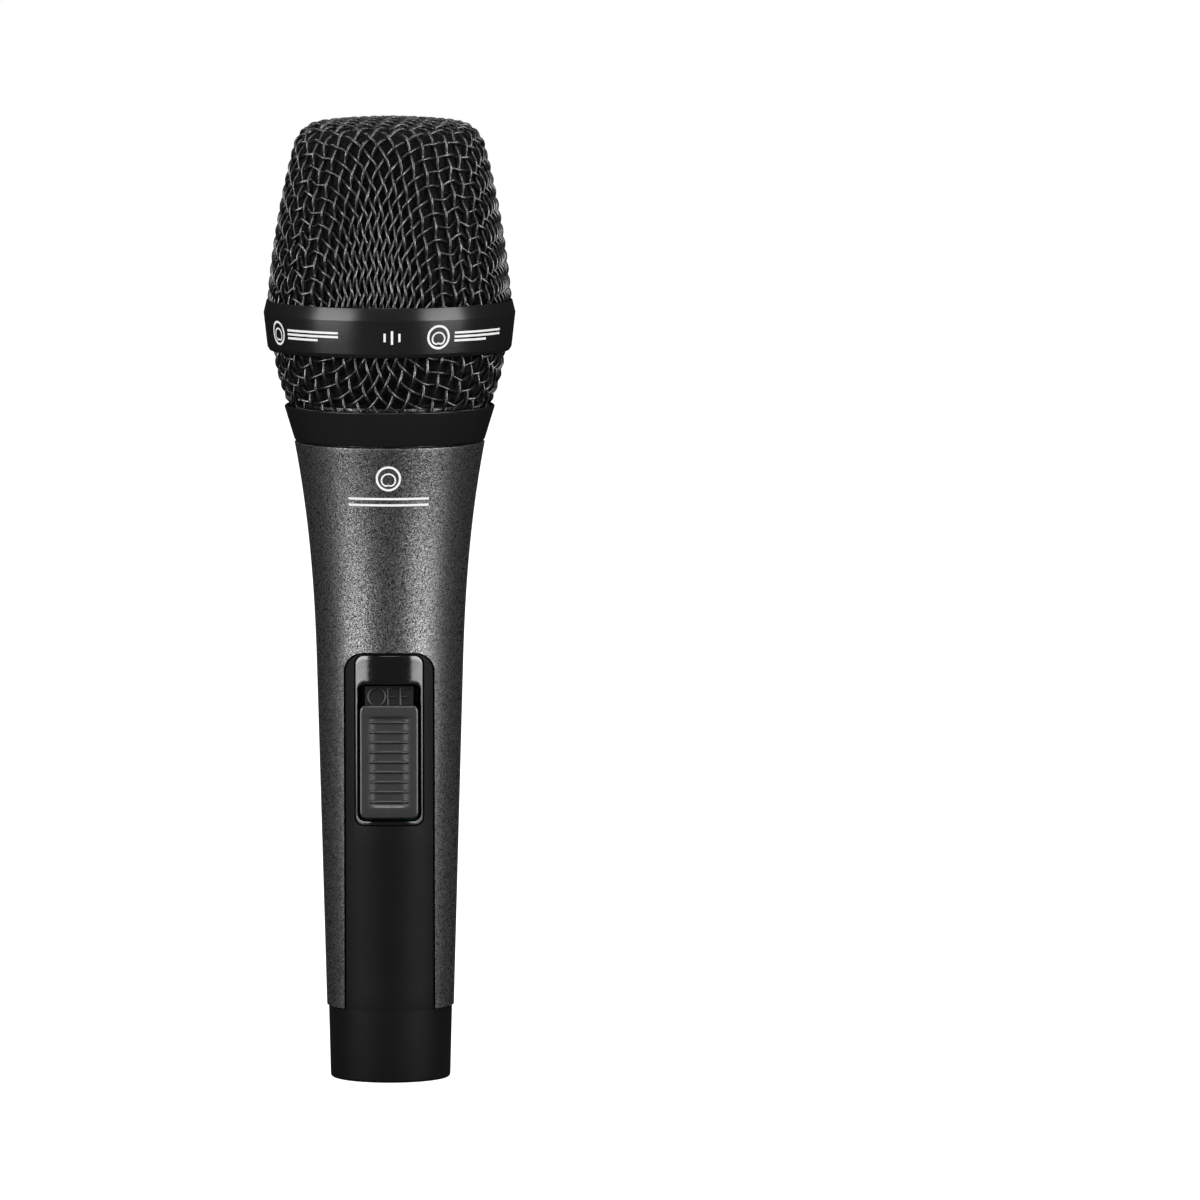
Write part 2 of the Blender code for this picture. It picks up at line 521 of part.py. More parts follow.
def make_capsule(root, moving):
    """The cartridge on its rubber mount: housing, magnet system, diaphragm and coil, and cap."""
    carrier = [
        (2.6, HUB_TOP), (HUB_RADIUS, HUB_TOP), (HUB_RADIUS, 131.2), (16.0, 131.2),
        (16.0, NECK_TOP + GAP), (NECK_BORE - GAP, NECK_TOP + GAP), (NECK_BORE - GAP, 121.0),
        (13.4, 121.0), (13.4, 128.2), (2.6, 128.2),
    ]
    turned("capsule_carrier", carrier, BLACK_PLASTIC, root, steps=MEDIUM_STEPS)
    mount = [
        (8.3, 145.7), (13.0, 145.7), (13.0, 143.2), (11.0, 141.5), (11.0, 139.0),
        (13.0, 137.3), (13.0, 131.5), (HUB_RADIUS + GAP, 131.5), (HUB_RADIUS + GAP, HUB_TOP + GAP), (8.3, 137.2),
    ]
    turned("shock_mount", mount, RUBBER, root, steps=MEDIUM_STEPS)

    bore = CAPSULE_RADIUS - CAPSULE_WALL
    housing = [
        (bore, CAPSULE_TOP), (CAPSULE_RADIUS, CAPSULE_TOP), (CAPSULE_RADIUS, CAPSULE_FLOOR + 1.2),
        (CAPSULE_RADIUS - 1.2, CAPSULE_FLOOR), (REAR_BOSS_RADIUS, CAPSULE_FLOOR),
        (REAR_BOSS_RADIUS, BOSS_BOTTOM), (3.0, BOSS_BOTTOM), (3.0, CAPSULE_FLOOR + 2.2),
        (bore, CAPSULE_FLOOR + 2.2),
    ]
    housing = turned("capsule_housing", housing, ALUMINIUM, root, steps=MEDIUM_STEPS)
    for i in range(PORT_COUNT // 2):
        port = rod(f"port_{i}", 1.2, (0, 0, 163.1), 2 * CAPSULE_RADIUS + 4, None, axis="X", steps=8)
        port.rotation_euler.z = 2 * math.pi * (i + 0.5) / PORT_COUNT
        combine(housing, port)

    floor = CAPSULE_FLOOR + 2.2 + GAP
    pot = [(0, floor + 2), (POT_BORE, floor + 2), (POT_BORE, POT_TOP), (POT_RADIUS, POT_TOP),
           (POT_RADIUS, floor), (0, floor)]
    turned("magnet_pot", pot, STEEL, root, steps=MEDIUM_STEPS)
    plain_disc("magnet", 7.3, floor + 2 + GAP, 156.0, MAGNET_STEEL, root)
    plain_disc("pole_plate", 7.4, 156.0 + GAP, POT_TOP, STEEL, root)
    plain_ring("diaphragm_seat", 11.2, 13.2, floor, 160.6, BRASS, root)
    plain_ring("port_felt", 12.8, 13.2, 161.5, 164.5, FELT, root)
    plain_disc("front_felt", 13.2, 164.8, 165.5, FELT, root)

    coil_top = DIAPHRAGM_HEIGHT - DIAPHRAGM_SHEET - GAP
    plain_ring("voice_coil", COIL_BORE, COIL_RADIUS, 156.6, coil_top, COPPER, moving)
    dome = [(8.2 * i / 3, DIAPHRAGM_HEIGHT + DIAPHRAGM_RISE * (1 - (i / 3) ** 2)) for i in range(4)]
    roll_middle, roll = (8.2 + DIAPHRAGM_RADIUS) / 2, (DIAPHRAGM_RADIUS - 8.2) / 2
    surround = [
        (roll_middle - roll * math.cos(a), DIAPHRAGM_HEIGHT + 0.7 * math.sin(a))
        for a in (math.pi * i / 4 for i in range(1, 5))
    ]
    top = dome + surround
    bottom = [(radius, height - DIAPHRAGM_SHEET) for radius, height in top[::-1]]
    turned("diaphragm", top + bottom, FILM, moving, steps=MEDIUM_STEPS)

    cap = [(0, 168.2), (9.0, 168.0), (14.3, 167.2), (14.3, 166.3), (9.0, 166.7), (0, 166.9)]
    cap = turned("capsule_cap", cap, ALUMINIUM, root, steps=MEDIUM_STEPS)
    angles = [2 * math.pi * i / CAP_HOLE_COUNT for i in range(CAP_HOLE_COUNT)]
    holes = [(0.0, 0.0)] + [(6.5 * math.cos(a), 6.5 * math.sin(a)) for a in angles]
    for i, (x, y) in enumerate(holes):
        combine(cap, rod(f"cap_hole_{i}", 1.4, (x, y, 167.0), 6.0, None, axis="Z", steps=10))


def plain_disc(name, radius, bottom, top, finish, parent):
    """A solid disc round the axis."""
    turned(name, [(0, top), (radius, top), (radius, bottom), (0, bottom)], finish, parent, steps=MEDIUM_STEPS)


def plain_ring(name, bore, radius, bottom, top, finish, parent):
    """A plain ring round the axis."""
    outline = [(bore, top), (radius, top), (radius, bottom), (bore, bottom)]
    turned(name, outline, finish, parent, steps=MEDIUM_STEPS)


def make_wiring(root):
    """The capsule's two tabs and leads to the board, and three leads on to the connector."""
    for side, label in ((-1, "hot"), (1, "cold")):
        tab = (1.2, 2.2, 2.7)
        block(f"capsule_tab_{label}", tab, (side * 5.5, 0, 137.85), BRASS, root)
        upper = [
            (side * 4.5, 0, 137.3), (side * 3.2, 0, 137.2), (side * 1.7, 0, 136.3),
            (side * 1.25, 0, 134.0), (side * 1.25, 0, 127.0), (side * 2.2, 1.5, 114.0),
            (side * 2.9, 1.8, 100.0), (side * 3.4, 0.6, 86.0), (side * 3.7, -1.0, 77.5),
            (side * 3.7, -2.65, 75.5),
        ]
        wire(f"lead_capsule_{label}", upper, LEAD, root)
        lower = [
            (side * 3.6, -2.65, 52.0), (side * 3.6, -1.4, 50.6), (side * 3.4, 0.2, 46.0),
            (side * 3.6, 0.5, 38.0), (side * PIN_CIRCLE, 0, 31.5), (side * PIN_CIRCLE, 0, PIN_TOP + GAP),
        ]
        wire(f"lead_xlr_{label}", lower, LEAD, root)
    ground = [
        (0, -2.65, 52.6), (0, -0.9, 51.0), (0, 1.1, 46.0), (0, 0.4, 39.5), (0, -2.6, 33.5),
        (0, -PIN_CIRCLE, 30.4), (0, -PIN_CIRCLE, PIN_TOP + GAP),
    ]
    wire("lead_xlr_ground", ground, LEAD, root)


clear_scene()
PARTS = new_collection("Microphone")
CUTTERS = new_collection("Cutters")
PAINT = new_material("handle paint", (0.075, 0.075, 0.078), 0.45, 0.6)
BLACK_METAL = new_material("black metal", (0.012, 0.012, 0.013), 0.35, 0.2)
GRILLE_STEEL = new_material("grille steel", (0.02, 0.02, 0.021), 0.35, 0.5)
BLACK_PLASTIC = new_material("black plastic", (0.012, 0.012, 0.013), 0.5)
GLOSS_PLASTIC = new_material("gloss plastic", (0.014, 0.014, 0.015), 0.2)
KNOB_PLASTIC = new_material("knob plastic", (0.05, 0.05, 0.052), 0.45)
RUBBER = new_material("rubber", (0.02, 0.02, 0.02), 0.8)
FOAM = new_material("foam", (0.01, 0.01, 0.01), 0.95)
FELT = new_material("felt", (0.12, 0.12, 0.12), 0.95)
STEEL = new_material("steel", (0.55, 0.55, 0.57), 0.3, 1.0)
MAGNET_STEEL = new_material("magnet steel", (0.35, 0.35, 0.37), 0.25, 1.0)
ALUMINIUM = new_material("aluminium", (0.6, 0.6, 0.61), 0.35, 1.0)
BRASS = new_material("brass", (0.75, 0.6, 0.32), 0.25, 1.0)
COPPER = new_material("copper", (0.72, 0.36, 0.2), 0.3, 1.0)
FILM = new_material("diaphragm film", (0.5, 0.48, 0.42), 0.15)
CIRCUIT_BOARD = new_material("circuit board", (0.03, 0.15, 0.06), 0.4)
LEAD = new_material("lead insulation", (0.3, 0.02, 0.02), 0.5)

microphone = new_empty("microphone", (0, 0, 0))
switch_slide = new_empty("switch_slide", (0, -KNOB_FRONT, KNOB_BOTTOM + KNOB_LENGTH / 2), microphone)
head_lift = new_empty("head_lift", (0, 0, COLLAR_BOTTOM), microphone)
head_turn = new_empty("head_turn", (0, 0, COLLAR_BOTTOM), head_lift)
diaphragm_travel = new_empty("diaphragm_travel", (0, 0, DIAPHRAGM_HEIGHT), microphone)
bpy.context.view_layer.update()

make_handle(microphone)
make_tail(microphone)
make_bezel(microphone)
make_switch(microphone, switch_slide)
make_connector(microphone)
make_head(head_turn, head_lift)
make_capsule(microphone, diaphragm_travel)
make_wiring(microphone)
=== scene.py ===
"""Looks of a handheld dynamic microphone: wire head, band and collar, sparkle-painted grip, slide switch.

Sizes in the classes are in millimetres unless a class says otherwise, in the microphone's own frame: Z runs
from the tail to the head, and the switch faces -Y. Meshes are written in metres.
"""

from __future__ import annotations

import logging
import math
from collections.abc import Callable, Iterable, Sequence
from dataclasses import dataclass, field
from enum import Enum

import bmesh
import bpy
import numpy as np
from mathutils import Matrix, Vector

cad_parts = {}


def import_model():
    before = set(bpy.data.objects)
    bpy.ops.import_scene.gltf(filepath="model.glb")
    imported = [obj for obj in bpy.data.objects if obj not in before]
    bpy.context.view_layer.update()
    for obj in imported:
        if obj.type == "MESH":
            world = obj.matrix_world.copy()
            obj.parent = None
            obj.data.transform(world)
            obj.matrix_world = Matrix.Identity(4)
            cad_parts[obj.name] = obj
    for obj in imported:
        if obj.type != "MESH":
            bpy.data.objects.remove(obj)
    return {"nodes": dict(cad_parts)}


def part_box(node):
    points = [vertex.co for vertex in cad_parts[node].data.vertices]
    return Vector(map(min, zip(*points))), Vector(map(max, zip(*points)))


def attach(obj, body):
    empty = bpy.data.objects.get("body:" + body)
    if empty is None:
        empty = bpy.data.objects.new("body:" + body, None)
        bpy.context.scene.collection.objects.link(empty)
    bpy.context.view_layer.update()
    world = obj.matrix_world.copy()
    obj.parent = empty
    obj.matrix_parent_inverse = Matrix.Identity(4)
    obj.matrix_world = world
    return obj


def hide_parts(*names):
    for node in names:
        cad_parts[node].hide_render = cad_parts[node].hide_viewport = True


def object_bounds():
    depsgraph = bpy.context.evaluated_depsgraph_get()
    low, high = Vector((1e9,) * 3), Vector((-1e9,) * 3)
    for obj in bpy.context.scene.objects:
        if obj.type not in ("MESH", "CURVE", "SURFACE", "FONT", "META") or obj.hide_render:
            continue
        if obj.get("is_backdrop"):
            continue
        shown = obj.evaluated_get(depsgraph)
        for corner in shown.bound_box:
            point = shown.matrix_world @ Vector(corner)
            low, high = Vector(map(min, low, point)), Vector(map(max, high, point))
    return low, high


LOG = logging.getLogger("microphone")
MM = 0.001
FULL_TURN = 2.0 * math.pi

# The Mix node's colour sockets, whose names its other kinds of socket share.
MIX_FIRST, MIX_SECOND, MIX_RESULT = 6, 7, 2

Range = tuple[float, float]
Point2 = tuple[float, float]
Point3 = tuple[float, float, float]
Colour = tuple[float, float, float]
Outline = list[Point2]
Faces = list[tuple[int, ...]]
Lift = Callable[[np.ndarray, np.ndarray | float], np.ndarray]
Cloth = dict[tuple[int, int], np.ndarray]
WireLine = tuple[np.ndarray, np.ndarray]


class Body(Enum):
    """The rigid bodies that a piece can ride on."""

    GRIP = "body"
    SWITCH = "switch"
    LINER = "liner"
    HEAD = "head"
    VOICE = "voice_assembly"


# ---------------------------------------------------------------- finishes


class NodeBoard:
    """A short way to lay out the nodes of one material."""

    def __init__(self, name: str) -> None:
        """Starts a material that has a Principled shader and an output.

        Args:
            name: The material's name.
        """
        self.material = bpy.data.materials.new(name)
        self.material.use_nodes = True
        self.tree = self.material.node_tree
        self.shader = self.tree.nodes["Principled BSDF"]
        place = self.tree.nodes.new("ShaderNodeTexCoord")
        self.place = place.outputs["Object"]

    def add(
        self, kind: str, inputs: dict[str | int, object] | None = None, **settings: object
    ) -> bpy.types.Node:
        """Adds a node, sets its properties, and fills or links its inputs.

        Args:
            kind: The node's type, without the ShaderNode prefix.
            inputs: Values or output sockets, by input name or number.
            settings: Properties of the node.

        Returns:
            The new node.
        """
        node = self.tree.nodes.new("ShaderNode" + kind)
        for key, value in settings.items():
            setattr(node, key, value)
        for key, value in (inputs or {}).items():
            self.feed(node.inputs[key], value)
        return node

    def feed(self, socket: bpy.types.NodeSocket, value: object) -> None:
        """Links an output to a socket, or sets the socket's own value.

        Args:
            socket: The input to fill.
            value: An output socket, a number or a colour.
        """
        if isinstance(value, bpy.types.NodeSocket):
            self.tree.links.new(value, socket)
        elif isinstance(value, tuple) and len(value) == 3 and socket.type == "RGBA":
            socket.default_value = (*value, 1.0)
        else:
            socket.default_value = value

    def set(self, **inputs: object) -> None:
        """Fills inputs of the Principled shader. An underscore in a name stands for a space.

        Args:
            inputs: Values or output sockets, by input name.
        """
        for key, value in inputs.items():
            self.feed(self.shader.inputs[key.replace("_", " ")], value)

    def noise(
        self, size: float, detail: float = 2.0, stretch: Point3 = (1.0, 1.0, 1.0), rough: float = 0.5
    ) -> bpy.types.NodeSocket:
        """A noise whose grains are about size millimetres across, as a number from 0 to 1.

        Args:
            size: The grain's size in millimetres.
            detail: How many finer layers are added.
            stretch: How much the grain is squeezed along each axis.
            rough: The weight of the finer layers.

        Returns:
            The noise's factor output.
        """
        mapping = self.add("Mapping", {"Vector": self.place, "Scale": stretch})
        inputs = {
            "Vector": mapping.outputs[0], "Scale": 1.0 / (size * MM), "Detail": detail, "Roughness": rough,
        }
        return self.add("TexNoise", inputs).outputs[0]

    def cells(self, size: float) -> bpy.types.Node:
        """A Voronoi texture whose cells are about size millimetres across.

        Args:
            size: The cell's size in millimetres.

        Returns:
            The texture node.
        """
        return self.add("TexVoronoi", {"Vector": self.place, "Scale": 1.0 / (size * MM)})

    def span(
        self, factor: bpy.types.NodeSocket, low: float, high: float, start: float = 0.3, end: float = 0.7
    ) -> bpy.types.NodeSocket:
        """Maps a factor's range to a range of values.

        Args:
            factor: The factor to map.
            low: The value at start.
            high: The value at end.
            start: The factor that gives low.
            end: The factor that gives high.

        Returns:
            The mapped value.
        """
        inputs = {"Value": factor, "From Min": start, "From Max": end, "To Min": low, "To Max": high}
        return self.add("MapRange", inputs).outputs[0]

    def blend(self, factor: bpy.types.NodeSocket, first: Colour, second: Colour) -> bpy.types.NodeSocket:
        """Mixes two colours by a factor.

        Args:
            factor: 0 gives the first colour and 1 the second.
            first: The first colour.
            second: The second colour.

        Returns:
            The mixed colour.
        """
        inputs = {"Factor": factor, MIX_FIRST: first, MIX_SECOND: second}
        return self.add("Mix", inputs, data_type="RGBA").outputs[MIX_RESULT]

    def bump(self, height: bpy.types.NodeSocket, depth: float, strength: float = 1.0) -> bpy.types.NodeSocket:
        """A bump of a given depth.

        Args:
            height: The height factor.
            depth: The depth in millimetres.
            strength: How much of the bump is used.

        Returns:
            The bumped normal.
        """
        return self.add("Bump", {"Height": height, "Distance": depth * MM, "Strength": strength}).outputs[0]


@dataclass(frozen=True)
class Finish:
    """A named finish for one of the frame's material slots. Its material is made once."""

    slot: str
    name: str

    def board(self) -> NodeBoard:
        """Lays out the material's nodes."""
        raise NotImplementedError

    def material(self) -> bpy.types.Material:
        """Returns the finish's material, made on first use."""
        return bpy.data.materials.get(self.name) or self.board().material


@dataclass(frozen=True)
class SparklePaint(Finish):
    """Metallic paint with fine bright flecks, sprayed over a rough cast surface."""

    dark: Colour = (0.006, 0.006, 0.0062)
    light: Colour = (0.35, 0.35, 0.355)
    fleck: float = 0.15
    tilt: float = 0.16
    grain: float = 0.14
    lit: Range = (0.08, 0.62)
    peel: float = 0.3
    peel_depth: float = 0.02
    metallic: float = 0.94
    gloss: Range = (0.36, 0.48)
    edge: float = 0.2

    def board(self) -> NodeBoard:
        """Flecks lie at their own angles in a grey base with faint clouding."""
        board = NodeBoard(self.name)
        fleck = board.cells(self.fleck)
        grain = board.noise(self.grain)
        amount = board.add("Math", {0: fleck.outputs["Color"], 1: grain}, operation="MULTIPLY").outputs[0]
        lean = board.add("VectorMath", {0: fleck.outputs["Color"], 1: (0.5, 0.5, 0.5)}, operation="SUBTRACT")
        lean = board.add("VectorMath", {0: lean.outputs[0], "Scale": self.tilt}, operation="SCALE")
        peel = board.bump(board.noise(self.peel), self.peel_depth, 0.5)
        normal = board.add("VectorMath", {0: peel, 1: lean.outputs[0]}, operation="ADD")
        normal = board.add("VectorMath", {0: normal.outputs[0]}, operation="NORMALIZE")
        board.set(
            Base_Color=board.blend(board.span(amount, 0.0, 1.0, *self.lit), self.dark, self.light),
            Metallic=self.metallic,
            Roughness=board.span(grain, *self.gloss),
            Specular_Tint=(self.edge,) * 3,
            Normal=normal.outputs[0],
        )
        return board


@dataclass(frozen=True)
class Coat(Finish):
    """A painted or moulded surface with a fine skin texture."""

    colour: Colour = (0.012, 0.012, 0.013)
    gloss: Range = (0.32, 0.44)
    grain: float = 0.18
    depth: float = 0.004
    metallic: float = 0.0
    specular: float = 0.5
    edge: float = 1.0
    cloud: float = 9.0
    cloud_gain: float = 1.35
    cloud_lift: float = 0.002

    def board(self) -> NodeBoard:
        """The skin's grain moves the gloss, and a wide cloud moves the colour a little."""
        board = NodeBoard(self.name)
        grain = board.noise(self.grain, 3.0, rough=0.6)
        cloud = board.noise(self.cloud)
        lighter = tuple(c * self.cloud_gain + self.cloud_lift for c in self.colour)
        board.set(
            Base_Color=board.blend(cloud, self.colour, lighter),
            Roughness=board.span(grain, *self.gloss),
            Metallic=self.metallic,
            Specular_IOR_Level=self.specular,
            Specular_Tint=(self.edge,) * 3,
            Normal=board.bump(grain, self.depth),
        )
        return board


@dataclass(frozen=True)
class CoatedWire(Finish):
    """Steel wire under a thin black coat that is worn grey in places."""

    coat: Colour = (0.046, 0.046, 0.0468)
    worn: Colour = (0.21, 0.21, 0.212)
    scuff: float = 1.1
    chip: float = 0.16
    bared: Range = (0.24, 0.40)
    gloss: Range = (0.28, 0.42)
    edge: float = 0.35

    def board(self) -> NodeBoard:
        """Long scuffs and small chips show the grey metal under the coat."""
        board = NodeBoard(self.name)
        wear = board.noise(self.scuff, 4.0, rough=0.7)
        chips = board.noise(self.chip)
        both = board.add("Math", {0: wear, 1: chips}, operation="MULTIPLY").outputs[0]
        shown = board.span(both, 0.0, 1.0, *self.bared)
        board.set(
            Base_Color=board.blend(shown, self.coat, self.worn),
            Metallic=board.span(both, 0.9, 1.0, *self.bared),
            Roughness=board.span(chips, *self.gloss),
            Specular_Tint=(self.edge,) * 3,
            Normal=board.bump(chips, 0.008),
        )
        return board


@dataclass(frozen=True)
class OpenFoam(Finish):
    """Open-cell foam: thin struts, with painted shade darkening the pores between them."""

    strut: Colour = (0.004, 0.004, 0.004)
    # The pores' colour is painted shade, darker than the struts towards each pore's middle.
    pore_shade: Colour = (0.0006, 0.0006, 0.0006)
    cell: float = 0.55
    pore_depth: float = 0.35

    def board(self) -> NodeBoard:
        """The distance to the nearest cell's centre gives both the pores' depth and their painted shade,
        darkest where they are deepest.
        """
        board = NodeBoard(self.name)
        pores = board.cells(self.cell).outputs["Distance"]
        board.set(
            Base_Color=board.blend(board.span(pores, 0.0, 1.0, 0.2, 0.75), self.pore_shade, self.strut),
            Roughness=board.span(pores, 0.85, 1.0),
            Specular_IOR_Level=0.15,
            Normal=board.bump(pores, self.pore_depth),
        )
        return board


@dataclass(frozen=True)
class TurnedMetal(Finish):
    """Bare or plated metal with fine tool marks round the axis."""

    colour: Colour = (0.6, 0.6, 0.61)
    gloss: Range = (0.18, 0.34)
    squeeze: float = 5 / 3
    tarnish: float = 0.72

    def board(self) -> NodeBoard:
        """The tool marks are noise squeezed along Z, and faint tarnish darkens patches."""
        board = NodeBoard(self.name)
        marks = board.noise(2.0, 3.0, stretch=(0.6, 0.6, self.squeeze))
        tarnish = board.noise(3.0, 3.0)
        dull = tuple(c * self.tarnish for c in self.colour)
        board.set(
            Base_Color=board.blend(board.span(tarnish, 0.0, 1.0, 0.45, 0.8), self.colour, dull),
            Metallic=1.0,
            Roughness=board.span(marks, *self.gloss),
            Normal=board.bump(marks, 0.006),
        )
        return board


@dataclass(frozen=True)
class Fibre(Finish):
    """Pressed felt."""

    colour: Colour = (0.12, 0.12, 0.12)
    shade: float = 0.45

    def board(self) -> NodeBoard:
        """Crossing fibres come from a stretched noise over a fine one."""
        board = NodeBoard(self.name)
        fibres = board.noise(0.5, 4.0, stretch=(1.0, 3.0, 1.0), rough=0.7)
        dark = tuple(c * self.shade for c in self.colour)
        board.set(
            Base_Color=board.blend(board.span(fibres, 0.0, 1.0), dark, self.colour),
            Roughness=board.span(fibres, 0.85, 1.0),
            Normal=board.bump(fibres, 0.12),
        )
        return board


@dataclass(frozen=True)
class PrintInk(Finish):
    """White pad-printed ink, a little uneven."""

    colour: Colour = (0.6, 0.6, 0.59)
    thinning: float = 0.8

    def board(self) -> NodeBoard:
        """Fine speckle thins the ink."""
        board = NodeBoard(self.name)
        speckle = board.noise(0.12)
        thin = tuple(c * self.thinning for c in self.colour)
        board.set(
            Base_Color=board.blend(board.span(speckle, 0.0, 1.0, 0.55, 0.8), self.colour, thin),
            Roughness=board.span(speckle, 0.4, 0.6),
            Normal=board.bump(speckle, 0.003),
        )
        return board


HANDLE_PAINT = SparklePaint("handle_paint", "handle sparkle paint")
WIRE_COAT = CoatedWire("grille_steel", "coated grille wire")
BLACK_METAL = Coat(
    "black_metal", "satin black metal", (0.027, 0.027, 0.0275), gloss=(0.20, 0.28), grain=0.16, depth=0.003,
    metallic=0.8, specular=0.0, edge=0.16,
)
SLEEVE_PLASTIC = Coat(
    "black_plastic", "black sleeve plastic", (0.0020, 0.0020, 0.0023), gloss=(0.46, 0.6), grain=0.14,
    depth=0.006, specular=0.08,
)
BEZEL_GLOSS = Coat(
    "gloss_plastic", "gloss bezel plastic", (0.046, 0.046, 0.047), gloss=(0.11, 0.17), grain=0.9, depth=0.002,
    metallic=0.93, specular=0.0, edge=0.3,
)
KNOB_PLASTIC = Coat(
    "knob_plastic", "satin knob plastic", (0.011, 0.011, 0.0115), gloss=(0.30, 0.42), grain=0.16, depth=0.014,
    specular=0.9,
)
LABEL_PLATE = Coat(
    "steel", "blackened label plate", (0.0045, 0.0045, 0.005), gloss=(0.36, 0.5), grain=0.12, depth=0.004,
    specular=0.3,
)
RUBBER = Coat(
    "rubber", "matt rubber", (0.018, 0.018, 0.018), gloss=(0.7, 0.9), grain=0.25, depth=0.012, specular=0.3,
)
FILM = Coat(
    "diaphragm_film", "diaphragm film", (0.5, 0.48, 0.42), gloss=(0.08, 0.16), grain=1.2, depth=0.004,
)
BOARD_MASK = Coat(
    "circuit_board", "green solder mask", (0.02, 0.13, 0.05), gloss=(0.22, 0.34), grain=0.4, depth=0.006,
)
LEAD_SKIN = Coat(
    "lead_insulation", "lead insulation", (0.30, 0.02, 0.02), gloss=(0.34, 0.46), grain=0.5, depth=0.004,
)
FOAM = OpenFoam("foam", "open-cell foam")
FELT = Fibre("felt", "acoustic felt")
STEEL = TurnedMetal("steel", "plated steel", (0.56, 0.56, 0.58))
MAGNET = TurnedMetal("magnet_steel", "nickel-plated magnet", (0.42, 0.41, 0.40), (0.12, 0.22))
ALUMINIUM = TurnedMetal("aluminium", "turned aluminium", (0.62, 0.62, 0.63), (0.25, 0.42))
BRASS = TurnedMetal("brass", "turned brass", (0.76, 0.60, 0.30), (0.16, 0.30))
COPPER = TurnedMetal("copper", "enamelled copper wire", (0.72, 0.34, 0.18), (0.2, 0.3), squeeze=5.0)
INK = PrintInk("gloss_plastic", "white print ink")


# ---------------------------------------------------------------- mesh work


@dataclass
class Mould:
    """Points and faces gathered for one piece, in millimetres."""

    points: list[np.ndarray] = field(default_factory=list)
    faces: Faces = field(default_factory=list)
    count: int = 0

    def pour(self, points: np.ndarray, faces: Iterable[tuple[int, ...]]) -> None:
        """Adds a set of points and the faces between them.

        Args:
            points: The points, one row each.
            faces: Faces numbered within these points.
        """
        start = self.count
        self.faces.extend(tuple(i + start for i in face) for face in faces)
        self.points.append(np.asarray(points, dtype=float))
        self.count += len(points)

    def release(self, name: str, sharp: float = 38.0, weld: bool = False) -> bpy.types.Object:
        """Makes the object, with its faces turned outwards and shaded smooth.

        Args:
            name: The piece's name.
            sharp: Edges that turn by more than this many degrees stay sharp.
            weld: Whether points at one place become one.

        Returns:
            The new object, linked to the scene.
        """
        mesh = bpy.data.meshes.new(name)
        mesh.from_pydata((np.vstack(self.points) * MM).tolist(), [], self.faces)
        shape = bmesh.new()
        shape.from_mesh(mesh)
        if weld:
            bmesh.ops.remove_doubles(shape, verts=shape.verts, dist=0.001 * MM)
        bmesh.ops.recalc_face_normals(shape, faces=shape.faces)
        shape.to_mesh(mesh)
        shape.free()
        mesh.shade_smooth()
        mesh.set_sharp_from_angle(angle=math.radians(sharp))
        obj = bpy.data.objects.new(name, mesh)
        bpy.context.scene.collection.objects.link(obj)
        return obj


def grid_faces(rows: int, columns: int, wrap_rows: bool = False, wrap_columns: bool = False) -> Faces:
    """Quads over a grid of points that is numbered row by row.

    Args:
        rows: The number of rows.
        columns: The number of points in a row.
        wrap_rows: Whether the last row joins the first.
        wrap_columns: Whether the last column joins the first.

    Returns:
        The faces.
    """
    faces = []
    for i in range(rows if wrap_rows else rows - 1):
        for j in range(columns if wrap_columns else columns - 1):
            k, m = (i + 1) % rows, (j + 1) % columns
            faces.append((i * columns + j, i * columns + m, k * columns + m, k * columns + j))
    return faces


def fillet(outline: Sequence[Point2], radius: float, steps: int = 4, closed: bool = True) -> Outline:
    """Rounds the corners of an outline.

    Args:
        outline: The outline's corners.
        radius: The rounding, which is less where an edge is short.
        steps: Straight runs in each rounded corner.
        closed: Whether the outline is a loop.

    Returns:
        The rounded outline.
    """
    count, rounded = len(outline), []
    for i, corner in enumerate(outline):
        if not closed and i in (0, count - 1):
            rounded.append(corner)
            continue
        point = np.array(corner)
        back, ahead = np.array(outline[i - 1]) - point, np.array(outline[(i + 1) % count]) - point
        long_back, long_ahead = np.linalg.norm(back), np.linalg.norm(ahead)
        cosine = float(np.dot(back, ahead) / (long_back * long_ahead))
        turn = math.pi - math.acos(max(-1.0, min(1.0, cosine)))
        if turn < math.radians(12):
            rounded.append(corner)
            continue
        cut = min(radius * math.tan(turn / 2), 0.45 * long_back, 0.45 * long_ahead)
        start, end = point + back / long_back * cut, point + ahead / long_ahead * cut
        for t in np.linspace(0.0, 1.0, steps + 1):
            rounded.append(tuple((1 - t) ** 2 * start + 2 * t * (1 - t) * point + t**2 * end))
    return rounded


def arc(centre: Point2, radius: float, start: float, end: float, steps: int) -> Outline:
    """Points on an arc in an outline's plane, with angles in degrees from +Z towards +X."""
    angles = np.radians(np.linspace(start, end, steps + 1))
    return [(centre[0] + radius * math.sin(a), centre[1] + radius * math.cos(a)) for a in angles]


